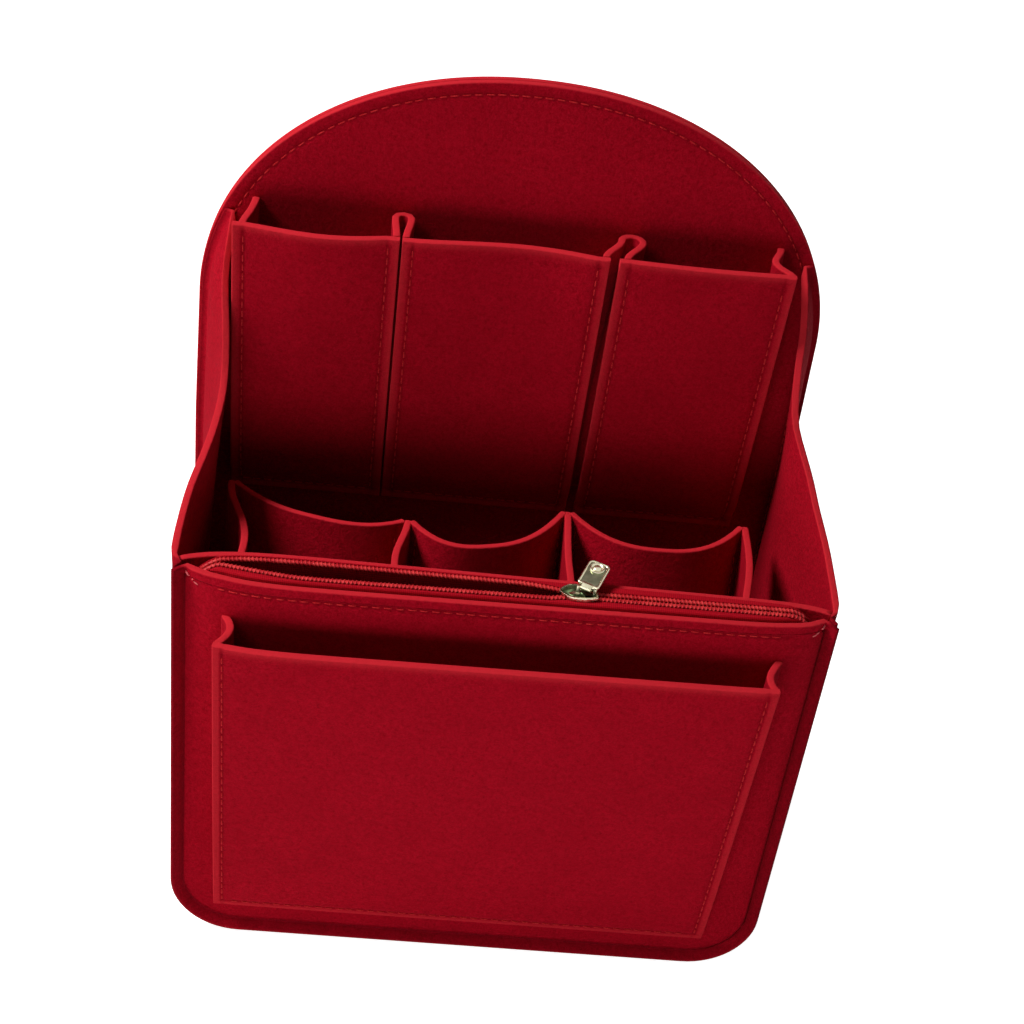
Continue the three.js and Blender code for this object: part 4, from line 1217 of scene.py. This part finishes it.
def coil_piece(name, side):
    """A nylon coil: one filament wound flat, with its cord inside."""
    turns = int((ZIP_RIGHT - ZIP_LEFT + DIVE_REACH - 2 * WIRE) / COIL_PITCH)
    per_turn = 12
    phase = np.arange(turns * per_turn + 1) / per_turn
    x = ZIP_LEFT - DIVE_REACH / 2 + WIRE + phase * COIL_PITCH
    wide, high = np.cos(2 * np.pi * phase), np.sin(2 * np.pi * phase)
    wide = np.sign(wide) * np.abs(wide) ** 0.7 * (COIL_WIDTH / 2 - WIRE)
    high = np.sign(high) * np.abs(high) ** 0.8 * (COIL_HEIGHT / 2 - WIRE)
    cord_x = np.linspace(ZIP_LEFT - DIVE_REACH / 2, ZIP_RIGHT + DIVE_REACH / 2, 120)
    points, faces = [], []
    for at, off, lift, radius in ((x, side * wide, high, WIRE), (cord_x, 0, 0, CORD)):
        path = np.stack([at, coil_spot(at, side) + off, ZIP_HEIGHT + lift - end_dive(at)], 1)
        add_tube(path, radius, points, faces)
    piece = make_object(name + "_filament", points, faces, COIL_LOOK, "felt_body", "zip_coil")
    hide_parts(name)


for label, side in (("front", -1), ("rear", 1)):
    tape_piece(f"zip_tape_{label}", side)
    coil_piece(f"zip_coil_{label}", side)


# Slider: the CAD shape with rounded edges and a darker sunk field
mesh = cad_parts["zip_slider_body"].data.copy()
mesh.materials.clear()
mesh.materials.append(NICKEL_LOOK)
slider_shell = new_object("zip_slider_shell", mesh)
weld = slider_shell.modifiers.new("weld", "WELD")
weld.merge_threshold = 0.00001
bevel = slider_shell.modifiers.new("bevel", "BEVEL")
bevel.width = SLIDER_ROUND / 1000
bevel.segments = 3
bevel.limit_method = "ANGLE"
bevel.angle_limit = radians(35)
bpy.context.view_layer.update()
mesh = bpy.data.meshes.new_from_object(slider_shell.evaluated_get(bpy.context.evaluated_depsgraph_get()))
slider_shell.modifiers.clear()
slider_shell.data = mesh
shade_smooth(mesh)
mesh.set_sharp_from_angle(angle=radians(40))
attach(slider_shell, "zip_slider")
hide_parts("zip_slider_body")
mesh.materials.append(SLIDER_FIELD_LOOK)
field_height = (ZIP_HEIGHT + SLIDER_TOP - SLIDER_RECESS) / 1000
shell = bmesh.new()
shell.from_mesh(mesh)
fields = [
    face for face in shell.faces
    if face.normal.z > 0.9 and abs(face.calc_center_median().z - field_height) < 0.0001
]
bmesh.ops.inset_region(shell, faces=fields, thickness=SLIDER_RIM / 1000, use_even_offset=True)
for face in fields:
    face.material_index = 1
shell.to_mesh(mesh)
shell.free()


# Pull: a plate that hangs on the slider's bridge
def plate_ring(inset, height):
    """The pull's outline at an inset, with rounded corners, counter-clockwise from above."""
    half, near, far = PULL_WIDTH / 2 - inset, PULL_NEAR + inset, PULL_LENGTH - inset
    ring = []
    for x, y, radius, turn in ((half, near, PULL_SHOULDER, -0.5), (half, far, PULL_CORNER, 0),
                               (-half, far, PULL_CORNER, 0.5), (-half, near, PULL_SHOULDER, 1)):
        round_by = max(radius - inset, 0.15)
        centre_x = x - copysign(round_by, x)
        centre_y = y + (round_by if y == near else -round_by)
        for step in range(9):
            angle = pi * (turn + 0.5 * step / 8)
            ring.append(
                (centre_x + round_by * cos(angle), centre_y + round_by * sin(angle), height))
    return ring


def pull_mesh():
    """A plate with a raised rim, a plain ringed boss near its tip and a rolled eye round the bridge."""
    half = PULL_THICK / 2
    points, faces = [], []
    rings = [plate_ring(inset, height) for inset, height in (
        (0.35, -half), (0.1, -half + 0.1), (0, -half + 0.3), (0, half - 0.2), (0.08, half),
        (0.25, half + 0.1), (0.55, half + 0.1), (0.75, half), (0.85, half - 0.15))]
    joined_rings(rings, points, faces)
    field = len(faces) - 1
    middle = PULL_LENGTH - PULL_BOSS_INSET
    rings = [[(r * cos(a), middle + r * sin(a), half + z) for a in circle_angles(28)]
             for r, z in PULL_BOSS]
    joined_rings(rings, points, faces)
    rings = [[(x, r * cos(a), r * sin(a)) for a in circle_angles(24)] for x, r in (
        (-EYE_HALF, EYE_INNER), (-EYE_HALF, EYE_OUTER - 0.15), (-EYE_HALF + 0.15, EYE_OUTER),
        (EYE_HALF - 0.15, EYE_OUTER), (EYE_HALF, EYE_OUTER - 0.15), (EYE_HALF, EYE_INNER))]
    joined_rings(rings + [rings[0]], points, faces, False)
    return points, faces, field


pull_points, pull_faces, pull_field = pull_mesh()
hinge = Vector((NOSE + BRIDGE, ZIP_LINE, ZIP_HEIGHT + BAR_HEIGHT))
turned = (Matrix.Rotation(radians(PULL_LIFT), 3, "X")
          @ Matrix.Rotation(-radians(PULL_SKEW), 3, "Z"))
pull_plate = make_object(
    "zip_pull_plate", [hinge + turned @ Vector(point) for point in pull_points], pull_faces, NICKEL_LOOK,
    "pull_tab", "zip_metal")
pull_plate.data.materials.append(PULL_FIELD_LOOK)
pull_plate.data.polygons[pull_field].material_index = 1
pull_plate.data.set_sharp_from_angle(angle=radians(38))
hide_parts("zip_pull_tab")


# Floor, light, camera
def rays_of(tree, *kinds):
    """1 for rays of the named kinds and 0 for others."""
    rays = add_node(tree, "LightPath").outputs
    found = rays[f"Is {kinds[0]} Ray"]
    for kind in kinds[1:]:
        found = calc(tree, "MAXIMUM", found, rays[f"Is {kind} Ray"])
    return found


floor_mesh = bpy.data.meshes.new("floor")
corners = [(x * FLOOR_REACH, y * FLOOR_REACH, FLOOR_LEVEL) for x, y in ((-1, -1), (1, -1), (1, 1), (-1, 1))]
floor_mesh.from_pydata(corners, [], [(0, 1, 2, 3)])
floor = new_object("floor", floor_mesh)
floor_look, tree, shader = new_look("floor_white")
fill(tree, shader, {"Base Color": (0.8, 0.8, 0.8, 1), "Roughness": 1.0, "Specular IOR Level": 0.0})
glow = calc(tree, "MULTIPLY", rays_of(tree, "Camera", "Glossy"), FLOOR_GLOW)
lift = add_node(tree, "Emission", {"Strength": glow})
together = add_node(tree, "AddShader", {0: shader.outputs[0], 1: lift.outputs[0]})
fill(tree, tree.nodes["Material Output"], {"Surface": together.outputs[0]})
floor_mesh.materials.append(floor_look)

world = bpy.data.worlds.new("studio")
scene.world = world
world.use_nodes = True
tree = world.node_tree
level = ramp(tree, rays_of(tree, "Camera", "Glossy", "Transmission"), 0, 1, WORLD_LIGHT, 1)
fill(tree, tree.nodes["Background"], {"Color": (1, 1, 1, 1), "Strength": level})

for name, spot, target, size, power in (
    ("key_lamp", (-0.78, -0.03, 1.08), (0, -0.02, 0.12), 0.42, 14.6),
    ("back_lamp", (0.6, 1.0, 0.1), (0.05, 0.05, 0.12), 0.5, 4),
    ("front_lamp", (-0.15, -0.75, 0.07), (0, -0.02, 0.12), 0.45, 2.6),
):
    light = bpy.data.lights.new(name, "AREA")
    light.shape = "DISK"
    light.size = size
    light.energy = power
    lamp = new_object(name, light)
    lamp.location = spot
    lamp.rotation_euler = (Vector(target) - Vector(spot)).to_track_quat("-Z", "Y").to_euler()

camera_data = bpy.data.cameras.new("camera")
camera_data.sensor_fit = "HORIZONTAL"
camera_data.sensor_width = 36
camera_data.lens = 36 * FOCAL_PIXELS / PICTURE
camera_data.clip_start = 0.01
camera_data.clip_end = 20
camera = new_object("camera", camera_data)
camera.location = CAMERA_SPOT
camera.rotation_euler = [radians(angle) for angle in CAMERA_ANGLES]
scene.camera = camera
scene.view_settings.view_transform = "Standard"
